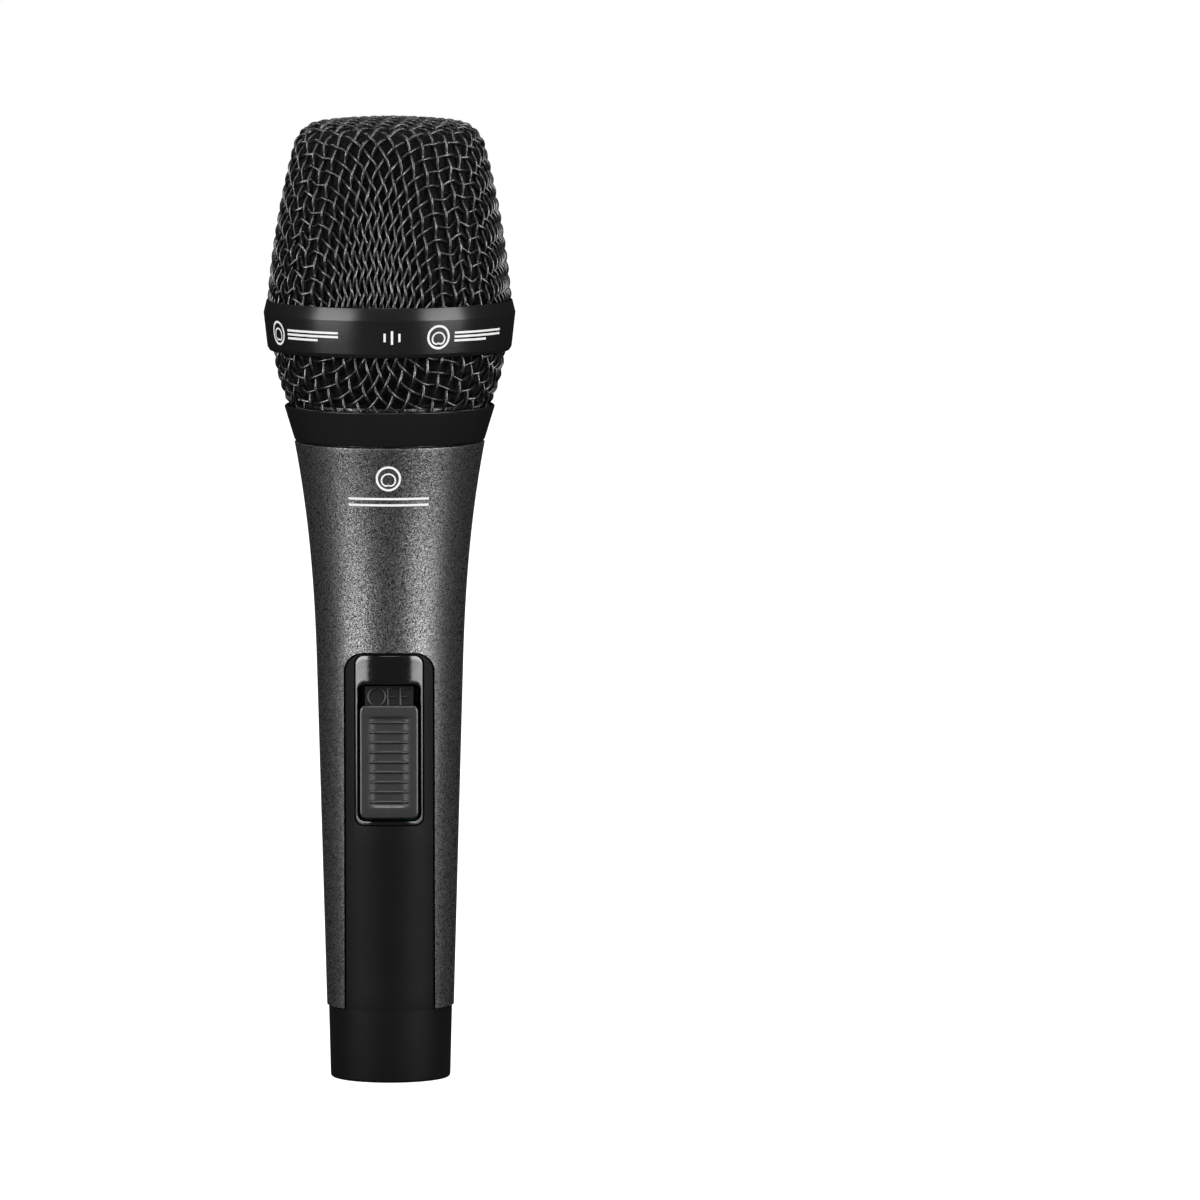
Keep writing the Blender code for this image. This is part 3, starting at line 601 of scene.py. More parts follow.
def turn_outline(mould: Mould, outline: Sequence[Point2], steps: int, centre: Point2 = (0.0, 0.0)) -> None:
    """Turns a closed outline round an upright axis. An outline may start and end on the axis.

    Args:
        mould: Where the surface goes.
        outline: Radii and heights.
        steps: Facets round the axis.
        centre: Where the axis stands.
    """
    on_axis = outline[0][0] == 0.0
    middle = outline[1:-1] if on_axis else outline
    angles = np.arange(steps) * FULL_TURN / steps
    rings = [
        np.column_stack((centre[0] + r * np.cos(angles), centre[1] + r * np.sin(angles), np.full(steps, z)))
        for r, z in middle
    ]
    faces = grid_faces(len(rings), steps, wrap_rows=not on_axis, wrap_columns=True)
    points = np.vstack(rings)
    if on_axis:
        first, last, end_ring = len(points), len(points) + 1, (len(rings) - 1) * steps
        tips = [(centre[0], centre[1], outline[0][1]), (centre[0], centre[1], outline[-1][1])]
        points = np.vstack((points, tips))
        faces += [(first, (j + 1) % steps, j) for j in range(steps)]
        faces += [(last, end_ring + j, end_ring + (j + 1) % steps) for j in range(steps)]
    mould.pour(points, faces)


def smooth_line(places: np.ndarray, runs: int) -> np.ndarray:
    """Catmull-Rom points through places.

    Args:
        places: The places, one row each.
        runs: Points for each stretch between two places.

    Returns:
        The points, ending at the last place.
    """
    ends = np.vstack((2 * places[0] - places[1], places, 2 * places[-1] - places[-2]))
    a, b, c, d = ends[:-3], ends[1:-2], ends[2:-1], ends[3:]
    t = (np.arange(runs) / runs)[None, :, None]
    a, b, c, d = (v[:, None, :] for v in (a, b, c, d))
    line = 0.5 * (2 * b + (c - a) * t + (2 * a - 5 * b + 4 * c - d) * t**2 + (3 * b - 3 * c + d - a) * t**3)
    return np.vstack((line.reshape(-1, places.shape[1]), places[-1]))


def draw_rod(mould: Mould, line: np.ndarray, ups: np.ndarray, radius: float, sides: int) -> None:
    """A round rod along a line, with flat ends.

    Args:
        mould: Where the rod goes.
        line: Points of the centre line.
        ups: A direction across the rod at each point.
        radius: The rod's radius.
        sides: Facets round the rod.
    """
    along = np.gradient(line, axis=0)
    along /= np.linalg.norm(along, axis=1)[:, None]
    side = np.cross(along, ups)
    side /= np.linalg.norm(side, axis=1)[:, None]
    up = np.cross(side, along)
    angles = np.arange(sides) * FULL_TURN / sides
    ring = np.cos(angles)[None, :, None] * up[:, None, :] + np.sin(angles)[None, :, None] * side[:, None, :]
    points = (line[:, None, :] + radius * ring).reshape(-1, 3)
    faces = grid_faces(len(line), sides, wrap_columns=True)
    last = (len(line) - 1) * sides
    faces += [tuple(range(sides - 1, -1, -1)), tuple(range(last, last + sides))]
    mould.pour(points, faces)


def fit_out(
    piece: bpy.types.Object, body: Body, finish: Finish, replaces: Sequence[str] = ()
) -> bpy.types.Object:
    """Gives a piece its finish and body, and hides the frame's nodes that it stands for.

    Args:
        piece: The piece.
        body: The body that it rides on.
        finish: Its finish.
        replaces: The frame's nodes that it replaces, or none for a printed mark or trim.

    Returns:
        The piece.
    """
    piece.data.materials.clear()
    piece.data.materials.append(finish.material())
    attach(piece, body.value)
    if replaces:
        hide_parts(*replaces)
    LOG.info("%s rides on %s: %d faces", piece.name, body.value, len(piece.data.polygons))
    return piece


# ---------------------------------------------------------------- handle


@dataclass
class HandleShell:
    """The painted casting: the tapered grip with its front slot, the flare, and the threaded neck."""

    bottom: float = 14.0
    top: float = 122.0
    bottom_radius: float = 12.15
    taper: float = 0.0279
    flare_start: float = 78.0
    flare_depth: float = 2.99
    flare_power: float = 2.4
    wall: float = 1.3
    slot_half: float = 8.65
    slot_top: float = 82.7
    slot_corner: float = 3.85
    shoulder: float = 119.5
    neck_radius: float = 16.2
    neck_bore: float = 14.9
    neck_top: float = 129.4
    thread_start: float = 123.3
    thread_pitch: float = 2.0
    thread_turns: float = 2.6
    thread_crest: float = 0.5
    broken_edge: float = 0.22
    body_columns: int = 168
    slot_columns: int = 28

    def radius(self, height: float | np.ndarray) -> float | np.ndarray:
        """The outer radius at a height: a straight taper and a power curve in the flare."""
        flare = np.clip((height - self.flare_start) / (self.top - self.flare_start), 0.0, None)
        straight = self.bottom_radius + self.taper * (height - self.bottom)
        return straight + self.flare_depth * flare**self.flare_power

    def slot_width(self, height: float) -> float:
        """Half the slot's width at a height, which shrinks in the rounded top corners."""
        above = max(0.0, height - (self.slot_top - self.slot_corner))
        return self.slot_half - self.slot_corner + math.sqrt(max(0.0, self.slot_corner**2 - above**2))

    def ring(self, radius: float, height: float, cut: bool) -> np.ndarray:
        """Points round the casting from one side of the slot to the other, and then across it.

        Args:
            radius: The ring's radius.
            height: The ring's height.
            cut: Whether the slot passes through the ring, which then stops at its sides.

        Returns:
            The ring's points.
        """
        edge = math.asin(self.slot_width(min(height, self.slot_top)) / radius)
        angles = np.linspace(edge, FULL_TURN - edge, self.body_columns + 1)
        if not cut:
            across = np.linspace(FULL_TURN - edge, FULL_TURN + edge, self.slot_columns + 1)[1:-1]
            angles = np.concatenate((angles, across))
        heights = np.full(len(angles), height)
        return np.column_stack((radius * np.sin(angles), -radius * np.cos(angles), heights))

    def build(self) -> bpy.types.Object:
        """Builds the casting and its thread as one piece.

        Returns:
            The piece.
        """
        corner = self.slot_top - self.slot_corner
        heights = [*np.linspace(self.bottom, corner, 24)[:-1]]
        heights += [corner + self.slot_corner * math.sin(a) for a in np.linspace(0, math.pi / 2, 14)]
        outside = [(float(self.radius(z)), z) for z in heights]
        inside = [(r - self.wall, z) for r, z in reversed(outside)]
        over = [(float(self.radius(z)), float(z)) for z in np.linspace(self.slot_top, self.top, 40)[1:]]
        down = np.linspace(self.shoulder, self.slot_top, 14)
        under = [(float(self.radius(z)) - self.wall, float(z)) for z in down]
        rim = [
            (self.neck_radius, self.top), (self.neck_radius, self.neck_top), (self.neck_bore, self.neck_top),
            (self.neck_bore, self.shoulder),
        ]
        whole = fillet([outside[-1], *over, *rim, *under], 0.14, closed=False)[1:-1]
        mould = Mould()
        self.stitch(mould, outside, whole, inside)
        self.cut_thread(mould)
        piece = mould.release("handle_casting")
        soft = piece.modifiers.new("Broken edges", "BEVEL")
        soft.width = self.broken_edge * MM
        soft.segments = 3
        soft.limit_method = "ANGLE"
        soft.angle_limit = math.radians(60)
        return fit_out(piece, Body.GRIP, HANDLE_PAINT, ["handle_shell"])

    def stitch(self, mould: Mould, outside: Outline, whole: Outline, inside: Outline) -> None:
        """Joins the rings: round the body, over the slot's head, and along the slot's sides.

        Args:
            mould: Where the surface goes.
            outside: Outer rings that the slot cuts, from the bottom up. The last is the slot's head.
            whole: Rings that the slot doesn't reach, over the neck and down the inside.
            inside: Inner rings that the slot cuts, from the top down.
        """
        cuts, closed, n, m = len(outside), len(whole), self.body_columns, self.slot_columns
        rings, starts, total = [], [], 0
        for i, (radius, height) in enumerate([*outside, *whole, *inside]):
            full = cuts - 1 <= i <= cuts + closed
            rings.append(self.ring(radius, height, cut=not full))
            starts.append(total)
            total += len(rings[-1])
        faces = []
        for i, start in enumerate(starts):
            after = starts[(i + 1) % len(starts)]
            faces += [(start + j, start + j + 1, after + j + 1, after + j) for j in range(n)]

        def across(start: int) -> list[int]:
            """The ring's points over the slot, from one side to the other."""
            return [start + n, *range(start + n + 1, start + n + m), start]

        head = [across(starts[i]) for i in range(cuts - 1, cuts + closed + 1)]
        for first, second in zip(head, [*head[1:], head[0]]):
            faces += [(first[j], first[j + 1], second[j + 1], second[j]) for j in range(m)]
        for i in range(cuts - 1):
            low, high, mirror_low, mirror_high = starts[i], starts[i + 1], starts[-1 - i], starts[-2 - i]
            faces.append((low, high, mirror_high, mirror_low))
            faces.append((low + n, mirror_low + n, mirror_high + n, high + n))
        mould.pour(np.vstack(rings), faces)

    def cut_thread(self, mould: Mould) -> None:
        """Adds the neck's right-hand thread, with runouts that sink into the neck at both ends.

        Args:
            mould: Where the thread goes.
        """
        steps_a_turn, runout = 96, 0.12
        crest, half_crest, root, half_root, deepest = self.thread_crest, 0.08, -0.35, 0.525, -0.6
        buried, thinnest = 0.3, 0.3
        turns = np.linspace(0.0, self.thread_turns, int(steps_a_turn * self.thread_turns))
        fade = np.clip(np.minimum(turns, self.thread_turns - turns) / runout, 0.0, 1.0)
        profile = [(root, -half_root), (crest, -half_crest), (crest, half_crest), (root, half_root)]
        profile.append((deepest, 0.0))
        rows = []
        for turn, sink in zip(turns, fade):
            angle = FULL_TURN * turn
            for out, along in profile:
                radius = self.neck_radius + (out + buried) * sink - buried
                width = thinnest + (1 - thinnest) * sink
                height = self.thread_start + self.thread_pitch * turn + along * width
                rows.append((radius * math.cos(angle), radius * math.sin(angle), height))
        faces = grid_faces(len(turns), len(profile), wrap_columns=True)
        last = len(rows) - len(profile)
        faces += [tuple(range(len(profile))), tuple(range(last, len(rows)))]
        mould.pour(np.array(rows), faces)


# ---------------------------------------------------------------- front panels


@dataclass(frozen=True)
class PanelEdge:
    """A rounded rectangle seen from the front, with its own radius at the top and bottom corners."""

    half_width: float
    bottom: float
    top: float
    top_corner: float
    bottom_corner: float

    def loop(self, inset: float, across: int = 24, upright: int = 40, corner: int = 8) -> np.ndarray:
        """Points round the edge, anticlockwise from the bottom left corner's end.

        Args:
            inset: How far the edge is moved inwards.
            across: Runs along the top and the bottom.
            upright: Runs along each side.
            corner: Runs in each corner.

        Returns:
            Points as x and z.
        """
        half, low, high = self.half_width - inset, self.bottom + inset, self.top - inset
        small, large = max(0.01, self.bottom_corner - inset), max(0.01, self.top_corner - inset)

        def bend(x: float, z: float, radius: float, start: float) -> list[Point2]:
            """Points on one corner's arc, without its ends."""
            angles = np.radians(np.linspace(start, start + 90, corner + 1))[1:-1]
            return [(x + radius * math.cos(a), z + radius * math.sin(a)) for a in angles]

        def run(first: Point2, second: Point2, count: int) -> list[Point2]:
            """Points along a straight side, with both ends."""
            return [tuple(p) for p in np.linspace(first, second, count + 1)]

        points = run((-half + small, low), (half - small, low), across)
        points += bend(half - small, low + small, small, -90)
        points += run((half, low + small), (half, high - large), upright)
        points += bend(half - large, high - large, large, 0)
        points += run((half - large, high), (-half + large, high), across)
        points += bend(-half + large, high - large, large, 90)
        points += run((-half, high - large), (-half, low + small), upright)
        points += bend(-half + small, low + small, small, 180)
        return np.array(points)


def rounded_rim(
    edge: PanelEdge, lift: Lift, rounding: float, depth: float, outwards: bool, counts: Sequence[int] = ()
) -> list[np.ndarray]:
    """Rings from the back of a panel up its side and over its rounded edge.

    Args:
        edge: The panel's edge.
        lift: Places front-view points at a depth below the panel's face.
        rounding: The edge's rounding.
        depth: The panel's thickness.
        outwards: True for the outer edge, and False for the edge of a window.
        counts: The loop's runs across, upright and in a corner, where they aren't its usual ones.

    Returns:
        The rings, from the back to the face.
    """
    sign = 1.0 if outwards else -1.0
    rings = [lift(edge.loop(0.0, *counts), depth)]
    for a in np.radians(np.linspace(0, 90, 6)):
        inset, below = rounding * (1 - math.cos(a)), rounding * (1 - math.sin(a))
        rings.append(lift(edge.loop(sign * inset, *counts), below))
    return rings


def frame_panel(
    mould: Mould, outer: PanelEdge, window: PanelEdge, lift: Lift, rounding: float, depth: float
) -> None:
    """Adds a panel with a window in it.

    Args:
        mould: Where the panel goes.
        outer: The panel's edge.
        window: The window's edge.
        lift: Places front-view points at a depth below the panel's face.
        rounding: The edges' rounding.
        depth: The panel's thickness.
    """
    first, second = outer.loop(rounding), window.loop(-rounding)
    between = [lift(first + (second - first) * t, 0.0) for t in np.linspace(0, 1, 9)[1:-1]]
    rings = rounded_rim(outer, lift, rounding, depth, True) + between
    rings += rounded_rim(window, lift, rounding, depth, False)[::-1]
    mould.pour(np.vstack(rings), grid_faces(len(rings), len(rings[0]), wrap_rows=True, wrap_columns=True))


# ---------------------------------------------------------------- tail, switch and connector


@dataclass
class TailHousing:
    """The black sleeve round the connector, and the spine that fills the handle's slot."""

    handle: HandleShell
    edge_radius: float = 11.45
    shoulder_radius: float = 11.8
    shoulder: float = 13.75
    bore: float = 9.55
    spigot: float = 10.3
    spigot_top: float = 30.0
    recess: float = 0.35
    spine: PanelEdge = PanelEdge(8.35, 12.6, 82.4, 3.55, 0.3)
    opening: PanelEdge = PanelEdge(6.62, 49.45, 82.27, 1.9, 1.6)
    spine_rounding: float = 0.06
    spine_thickness: float = 1.3
    foot_rounding: float = 0.6
    key_half: float = 1.1
    key_inner: float = 8.65
    key_bottom: float = 4.0
    key_top: float = 17.2

    def lift(self, places: np.ndarray, depth: np.ndarray | float) -> np.ndarray:
        """Places front-view points on the spine, which runs flush into the sleeve."""
        x, z = places[:, 0], places[:, 1]
        radius = self.handle.radius(z) - self.recess - depth
        return np.column_stack((x, -np.sqrt(radius**2 - x**2), z))

    def build(self) -> bpy.types.Object:
        """Builds the sleeve, the spine and the key rib as one piece.

        Returns:
            The piece.
        """
        foot = [
            (self.bore, self.foot_rounding), (self.bore, 0.0), (self.edge_radius, 0.0),
            (self.shoulder_radius, self.shoulder),
        ]
        inside = [(self.spigot, self.shoulder), (self.spigot, self.spigot_top), (self.bore, self.spigot_top)]
        mould = Mould()
        turn_outline(mould, fillet(foot, self.foot_rounding, closed=False) + inside, 144)
        frame_panel(mould, self.spine, self.opening, self.lift, self.spine_rounding, self.spine_thickness)
        self.add_key(mould)
        return fit_out(mould.release("tail_sleeve"), Body.GRIP, SLEEVE_PLASTIC, ["tail_housing"])

    def add_key(self, mould: Mould) -> None:
        """Adds the rib that finds a plug's key slot, with rounded shoulders.

        Args:
            mould: Where the rib goes.
        """
        overlap, rounding, lead_in, lead_share = 0.4, 0.35, 0.5, 0.6
        wall = self.bore + overlap
        corners = [(-self.key_half, wall), (-self.key_half, self.key_inner)]
        corners += [(self.key_half, self.key_inner), (self.key_half, wall)]
        section = fillet(corners, rounding, 5, closed=False)
        heights = [self.key_bottom, self.key_bottom + lead_in, self.key_top]
        shrink = [lead_share, 1.0, 1.0]
        points = [(x * s, wall - (wall - y) * s, z) for z, s in zip(heights, shrink) for x, y in section]
        count = len(section)
        faces = grid_faces(3, count, wrap_columns=True)
        faces += [tuple(range(count)), tuple(range(2 * count, 3 * count))]
        mould.pour(np.array(points), faces)


class LabelWord(Enum):
    """Words moulded beside the switch, as their letters."""

    OFF = ("O", "F", "F")
    ON = ("O", "N")


# Each letter's strokes, in a box one unit high.
LETTER_STROKES: dict[str, list[list[Point2]]] = {
    "F": [[(0.0, 0.0), (0.0, 1.0), (0.55, 1.0)], [(0.0, 0.52), (0.45, 0.52)]],
    "N": [[(0.0, 0.0), (0.0, 1.0), (0.62, 0.0), (0.62, 1.0)]],
    "O": [[(0.5 + 0.5 * math.sin(a), 0.5 + 0.5 * math.cos(a)) for a in np.linspace(0.0, FULL_TURN, 29)]],
}
LETTER_WIDTHS = {"F": 0.55, "N": 0.62, "O": 1.0}


@dataclass
class SlideSwitch:
    """The gloss bezel, the plate with its moulded words, and the ribbed knob."""

    handle: HandleShell
    bezel: PanelEdge = PanelEdge(6.5, 49.6, 82.18, 1.8, 1.5)
    window: PanelEdge = PanelEdge(5.95, 50.4, 76.6, 1.3, 1.3)
    bezel_recess: float = 0.05
    bezel_rounding: float = 0.2
    bezel_thickness: float = 1.4
    rib_count: int = 9
    rib_pitch: float = 1.9
    rib_half: float = 3.5
    rib_height: float = 0.47
    rib_width: float = 0.31
    rib_proud: float = 0.35
    dish: float = 0.38
    dish_half: float = 4.3
    dish_side: float = 1.9
    dish_end: float = 0.7
    knob_corner: float = 1.15
    knob_rounding: float = 0.32
    letter_height: float = 3.3
    letter_gap: float = 0.55
    stroke: float = 0.25
    word_inset: float = 0.35
    word_gap: float = 0.4
    skirt: Range = (4.95, 5.5)
    skirt_depth: float = 1.1
    skirt_overlap: float = 0.2

    def bezel_lift(self, places: np.ndarray, depth: np.ndarray | float) -> np.ndarray:
        """Places front-view points on the handle's surface."""
        x, z = places[:, 0], places[:, 1]
        radius = self.handle.radius(z) - self.bezel_recess - depth
        return np.column_stack((x, -np.sqrt(radius**2 - x**2), z))

    def build(self) -> None:
        """Builds the bezel, the knob and the words, and sets the words on the plate behind them."""
        mould = Mould()
        rounding, thickness = self.bezel_rounding, self.bezel_thickness
        frame_panel(mould, self.bezel, self.window, self.bezel_lift, rounding, thickness)
        fit_out(mould.release("window_bezel"), Body.GRIP, BEZEL_GLOSS, ["switch_bezel"])
        self.build_knob()
        plate_low, plate_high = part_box("switch_frame")
        knob_low, knob_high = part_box("switch_knob")
        front = plate_low[1] / MM
        above = (knob_high[2] + plate_high[2]) / 2 / MM - self.word_inset
        below = (knob_low[2] + self.letter_height * MM / 2) / MM + self.word_gap
        self.build_word(LabelWord.OFF, above, front)
        self.build_word(LabelWord.ON, below, front)

    def build_knob(self) -> None:
        """Builds the thumb slide: a plate with a dished face, crossed by rounded ribs."""
        low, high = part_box("switch_knob")
        face, back = -low[1] / MM - self.rib_proud, -high[1] / MM
        edge = PanelEdge(high[0] / MM, low[2] / MM, high[2] / MM, self.knob_corner, self.knob_corner)
        end_margin = 0.3
        middle = (low[2] + high[2]) / 2 / MM
        half_x, half_z = self.dish_half, (self.rib_count + end_margin) * self.rib_pitch / 2

        def lift(places: np.ndarray, depth: np.ndarray | float) -> np.ndarray:
            """Places front-view points on the knob's flat face."""
            return np.column_stack((places[:, 0], np.full(len(places), -face) + depth, places[:, 1]))

        columns, rows, corner = 24, 240, 8
        counts = (columns, rows, corner)
        rings = rounded_rim(edge, lift, self.knob_rounding, face - back, True, counts)
        field_edge = PanelEdge(half_x, middle - half_z, middle + half_z, 0.0, 0.0)
        rings.append(lift(field_edge.loop(0.0, *counts), 0.0))
        mould = Mould()
        mould.pour(np.vstack(rings), grid_faces(len(rings), len(rings[0]), wrap_columns=True))
        mould.faces.append(tuple(range(len(rings[0]))))

        x, z = np.meshgrid(np.linspace(-half_x, half_x, columns + 1), np.linspace(-half_z, half_z, rows + 1))
        rise = self.face_relief(x, z, half_x, half_z)
        points = np.column_stack((x.ravel(), (-face - rise).ravel(), (z + middle).ravel()))
        mould.pour(points, grid_faces(rows + 1, columns + 1))
        self.build_skirts(mould, -back, low[2] / MM, high[2] / MM)
        piece = mould.release("thumb_slide", sharp=50, weld=True)
        fit_out(piece, Body.SWITCH, KNOB_PLASTIC, ["switch_knob"])

    def build_skirts(self, mould: Mould, back: float, foot: float, top: float) -> None:
        """Adds the two thin walls behind the knob that close the window's sides.

        Args:
            mould: Where the knob is being built.
            back: The knob's back along Y.
            foot: The knob's lowest place.
            top: The knob's highest place.
        """
        inner, outer = self.skirt
        front, rear = back - self.skirt_overlap, back + self.skirt_depth
        low, high = foot + self.knob_corner, top - self.knob_corner
        for side in (-1.0, 1.0):
            plan = [(side * inner, front), (side * outer, front), (side * outer, rear), (side * inner, rear)]
            points = np.array([(x, y, z) for z in (low, high) for x, y in plan])
            faces = grid_faces(2, len(plan), wrap_columns=True) + [(0, 1, 2, 3), (4, 5, 6, 7)]
            mould.pour(points, faces)

    def face_relief(self, x: np.ndarray, z: np.ndarray, half_x: float, half_z: float) -> np.ndarray:
        """How far the knob's face stands proud: a shallow dish, and ribs that cross it.

        Args:
            x: Places across the face, from its middle.
            z: Places along the face, from its middle.
            half_x: Half the dished field's width.
            half_z: Half its length.

        Returns:
            The rise at each place, negative in the dish.
        """
        side = np.clip((half_x - np.abs(x)) / self.dish_side, 0.0, 1.0)
        end = np.clip((half_z - np.abs(z)) / self.dish_end, 0.0, 1.0)
        fall = (side * side * (3 - 2 * side)) * (end * end * (3 - 2 * end))
        flat_share = 0.55
        bowl = flat_share + (1 - flat_share) * np.cos(np.clip(x / half_x, -1, 1) * math.pi / 2)
        dish = -self.dish * fall * bowl
        phase = z / self.rib_pitch
        inside = np.abs(z) < (self.rib_count / 2) * self.rib_pitch
        offset = (phase - np.round(phase)) * self.rib_pitch
        fullness = 0.7
        crest = np.clip(1 - (np.abs(offset) / self.rib_width) ** 2, 0.0, 1.0) ** fullness
        crest = np.where(inside, crest, 0.0)
        rib_end, flick_height, flick_start, flick_run = 0.35, 0.10, 0.9, 0.6
        cheek = np.clip((self.rib_half - np.abs(x)) / rib_end, 0.0, 1.0)
        flick = flick_height * np.clip((np.abs(x) - self.rib_half + flick_start) / flick_run, 0.0, 1.0)
        return dish + crest * np.sqrt(cheek) * (self.rib_height + flick)

    def build_word(self, word: LabelWord, height: float, front: float) -> None:
        """Builds a word in low raised strokes.

        Args:
            word: The word.
            height: Where its middle stands.
            front: Where the plate's front lies along Y.
        """
        letters = word.value
        size, gap = self.letter_height, self.letter_gap
        total = sum(LETTER_WIDTHS[letter] * size for letter in letters) + gap * (len(letters) - 1)
        mould, left = Mould(), -total / 2
        for letter in letters:
            for stroke in LETTER_STROKES[letter]:
                points = np.array([(left + x * size, front, height + (z - 0.5) * size) for x, z in stroke])
                ups = np.tile((0.0, -1.0, 0.0), (len(points), 1))
                draw_rod(mould, points, ups, self.stroke, 8)
            left += LETTER_WIDTHS[letter] * size + gap
        fit_out(mould.release(f"moulded_{word.name.lower()}"), Body.GRIP, LABEL_PLATE)


@dataclass
class Connector:
    """The three-pin connector: the insulator, the contacts and the screw that locks it."""

    insert_radius: float = 9.25
    insert_rounding: float = 0.4
    pin_circle: float = 3.81
    pin_radius: float = 1.2
    clearance: float = 0.12
    lock_offset: float = 6.2
    lock_radius: float = 1.35

    def pin_places(self) -> dict[int, Point2]:
        """Where the contacts stand, by number."""
        return {1: (-self.pin_circle, 0.0), 2: (self.pin_circle, 0.0), 3: (0.0, -self.pin_circle)}

    def build(self) -> None:
        """Builds the insulator, the contacts and the screw."""
        low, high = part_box("xlr_insert")
        bottom, top = low[2] / MM, high[2] / MM
        mould = Mould()
        rim = [(0.0, top), (self.insert_radius, top), (self.insert_radius, bottom), (0.0, bottom)]
        turn_outline(mould, fillet(rim, self.insert_rounding, closed=False), 96)
        insulator = mould.release("insulator")
        holes = [(place, self.pin_radius + self.clearance) for place in self.pin_places().values()]
        holes.append(((0.0, self.lock_offset), self.lock_radius + self.clearance))
        drill_set, past, sink = Mould(), 1.0, 0.35
        for place, radius in holes:
            drill = [
                (0.0, top + past), (radius, top + past), (radius, bottom + sink), (radius + sink, bottom),
                (radius + sink, bottom - past), (0.0, bottom - past),
            ]
            turn_outline(drill_set, drill, 40, place)
        drills = drill_set.release("insulator_drills")
        bpy.context.view_layer.objects.active = insulator
        cut = insulator.modifiers.new("Drill", "BOOLEAN")
        cut.object = drills
        bpy.ops.object.modifier_apply(modifier=cut.name)
        bpy.data.objects.remove(drills)
        insulator.data.set_sharp_from_angle(angle=math.radians(38))
        fit_out(insulator, Body.GRIP, SLEEVE_PLASTIC, ["xlr_insert"])
        for number, place in self.pin_places().items():
            self.build_pin(number, place, bottom, top)
        self.build_lock(bottom, top)

    def build_pin(self, number: int, place: Point2, bottom: float, top: float) -> None:
        """Builds one contact: a bullet-nosed pin, its collar and its solder cup.

        Args:
            number: The contact's number.
            place: Where it stands.
            bottom: The insulator's lower face.
            top: The insulator's upper face.
        """
        low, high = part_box(f"xlr_pin_{number}")
        tip, cup = low[2] / MM, high[2] / MM
        nose = [
            (0.0, tip), (0.45, tip + 0.08), (0.85, tip + 0.38), (1.08, tip + 0.85),
            (self.pin_radius, tip + 1.5),
        ]
        collar, collar_low, collar_high = 1.9, top + 0.3, top + 1.3
        cup_radius, cup_floor = 0.7, cup - 2.2
        stem = [
            (self.pin_radius, collar_low), (collar, collar_low), (collar, collar_high),
            (self.pin_radius, collar_high), (self.pin_radius, cup), (cup_radius, cup),
            (cup_radius, cup_floor), (0.0, cup_floor),
        ]
        mould = Mould()
        turn_outline(mould, nose + fillet([nose[-1], *stem], 0.1, 2, closed=False)[1:], 40, place)
        LOG.info("contact %d, %.1f mm proud of the insulator", number, bottom - tip)
        fit_out(mould.release(f"contact_{number}"), Body.GRIP, BRASS, [f"xlr_pin_{number}"])

    def build_lock(self, bottom: float, top: float) -> None:
        """Builds the locking screw with a slot in its end.

        Args:
            bottom: The insulator's lower face.
            top: The insulator's upper face.
        """
        inset, slot_half, slot_depth = 0.4, 0.28, 0.7
        low, high, radius = bottom + inset, top - inset, self.lock_radius
        mould = Mould()
        angles = np.linspace(0, FULL_TURN, 49)[:-1]
        circle = np.column_stack((radius * np.cos(angles), radius * np.sin(angles)))
        for sign in (-1.0, 1.0):
            half = circle[circle[:, 0] * sign > slot_half * 1.02]
            order = np.argsort(np.arctan2(half[:, 1], half[:, 0] * sign))
            half = half[order]
            chord = math.sqrt(radius**2 - slot_half**2)
            land = np.vstack(((sign * slot_half, -chord), half, (sign * slot_half, chord)))
            count = len(land)
            rings = [
                np.column_stack((land[:, 0], land[:, 1] + self.lock_offset, np.full(count, z)))
                for z in (low, low + slot_depth)
            ]
            faces = grid_faces(2, count, wrap_columns=True)
            faces += [tuple(range(count)), tuple(range(count, 2 * count))]
            mould.pour(np.vstack(rings), faces)
        shank = [(0.0, high), (radius, high), (radius, low + slot_depth), (0.0, low + slot_depth)]
        turn_outline(mould, shank, 48, (0.0, self.lock_offset))
        fit_out(mould.release("lock_screw"), Body.GRIP, STEEL, ["xlr_lock_screw"])


# ---------------------------------------------------------------- head


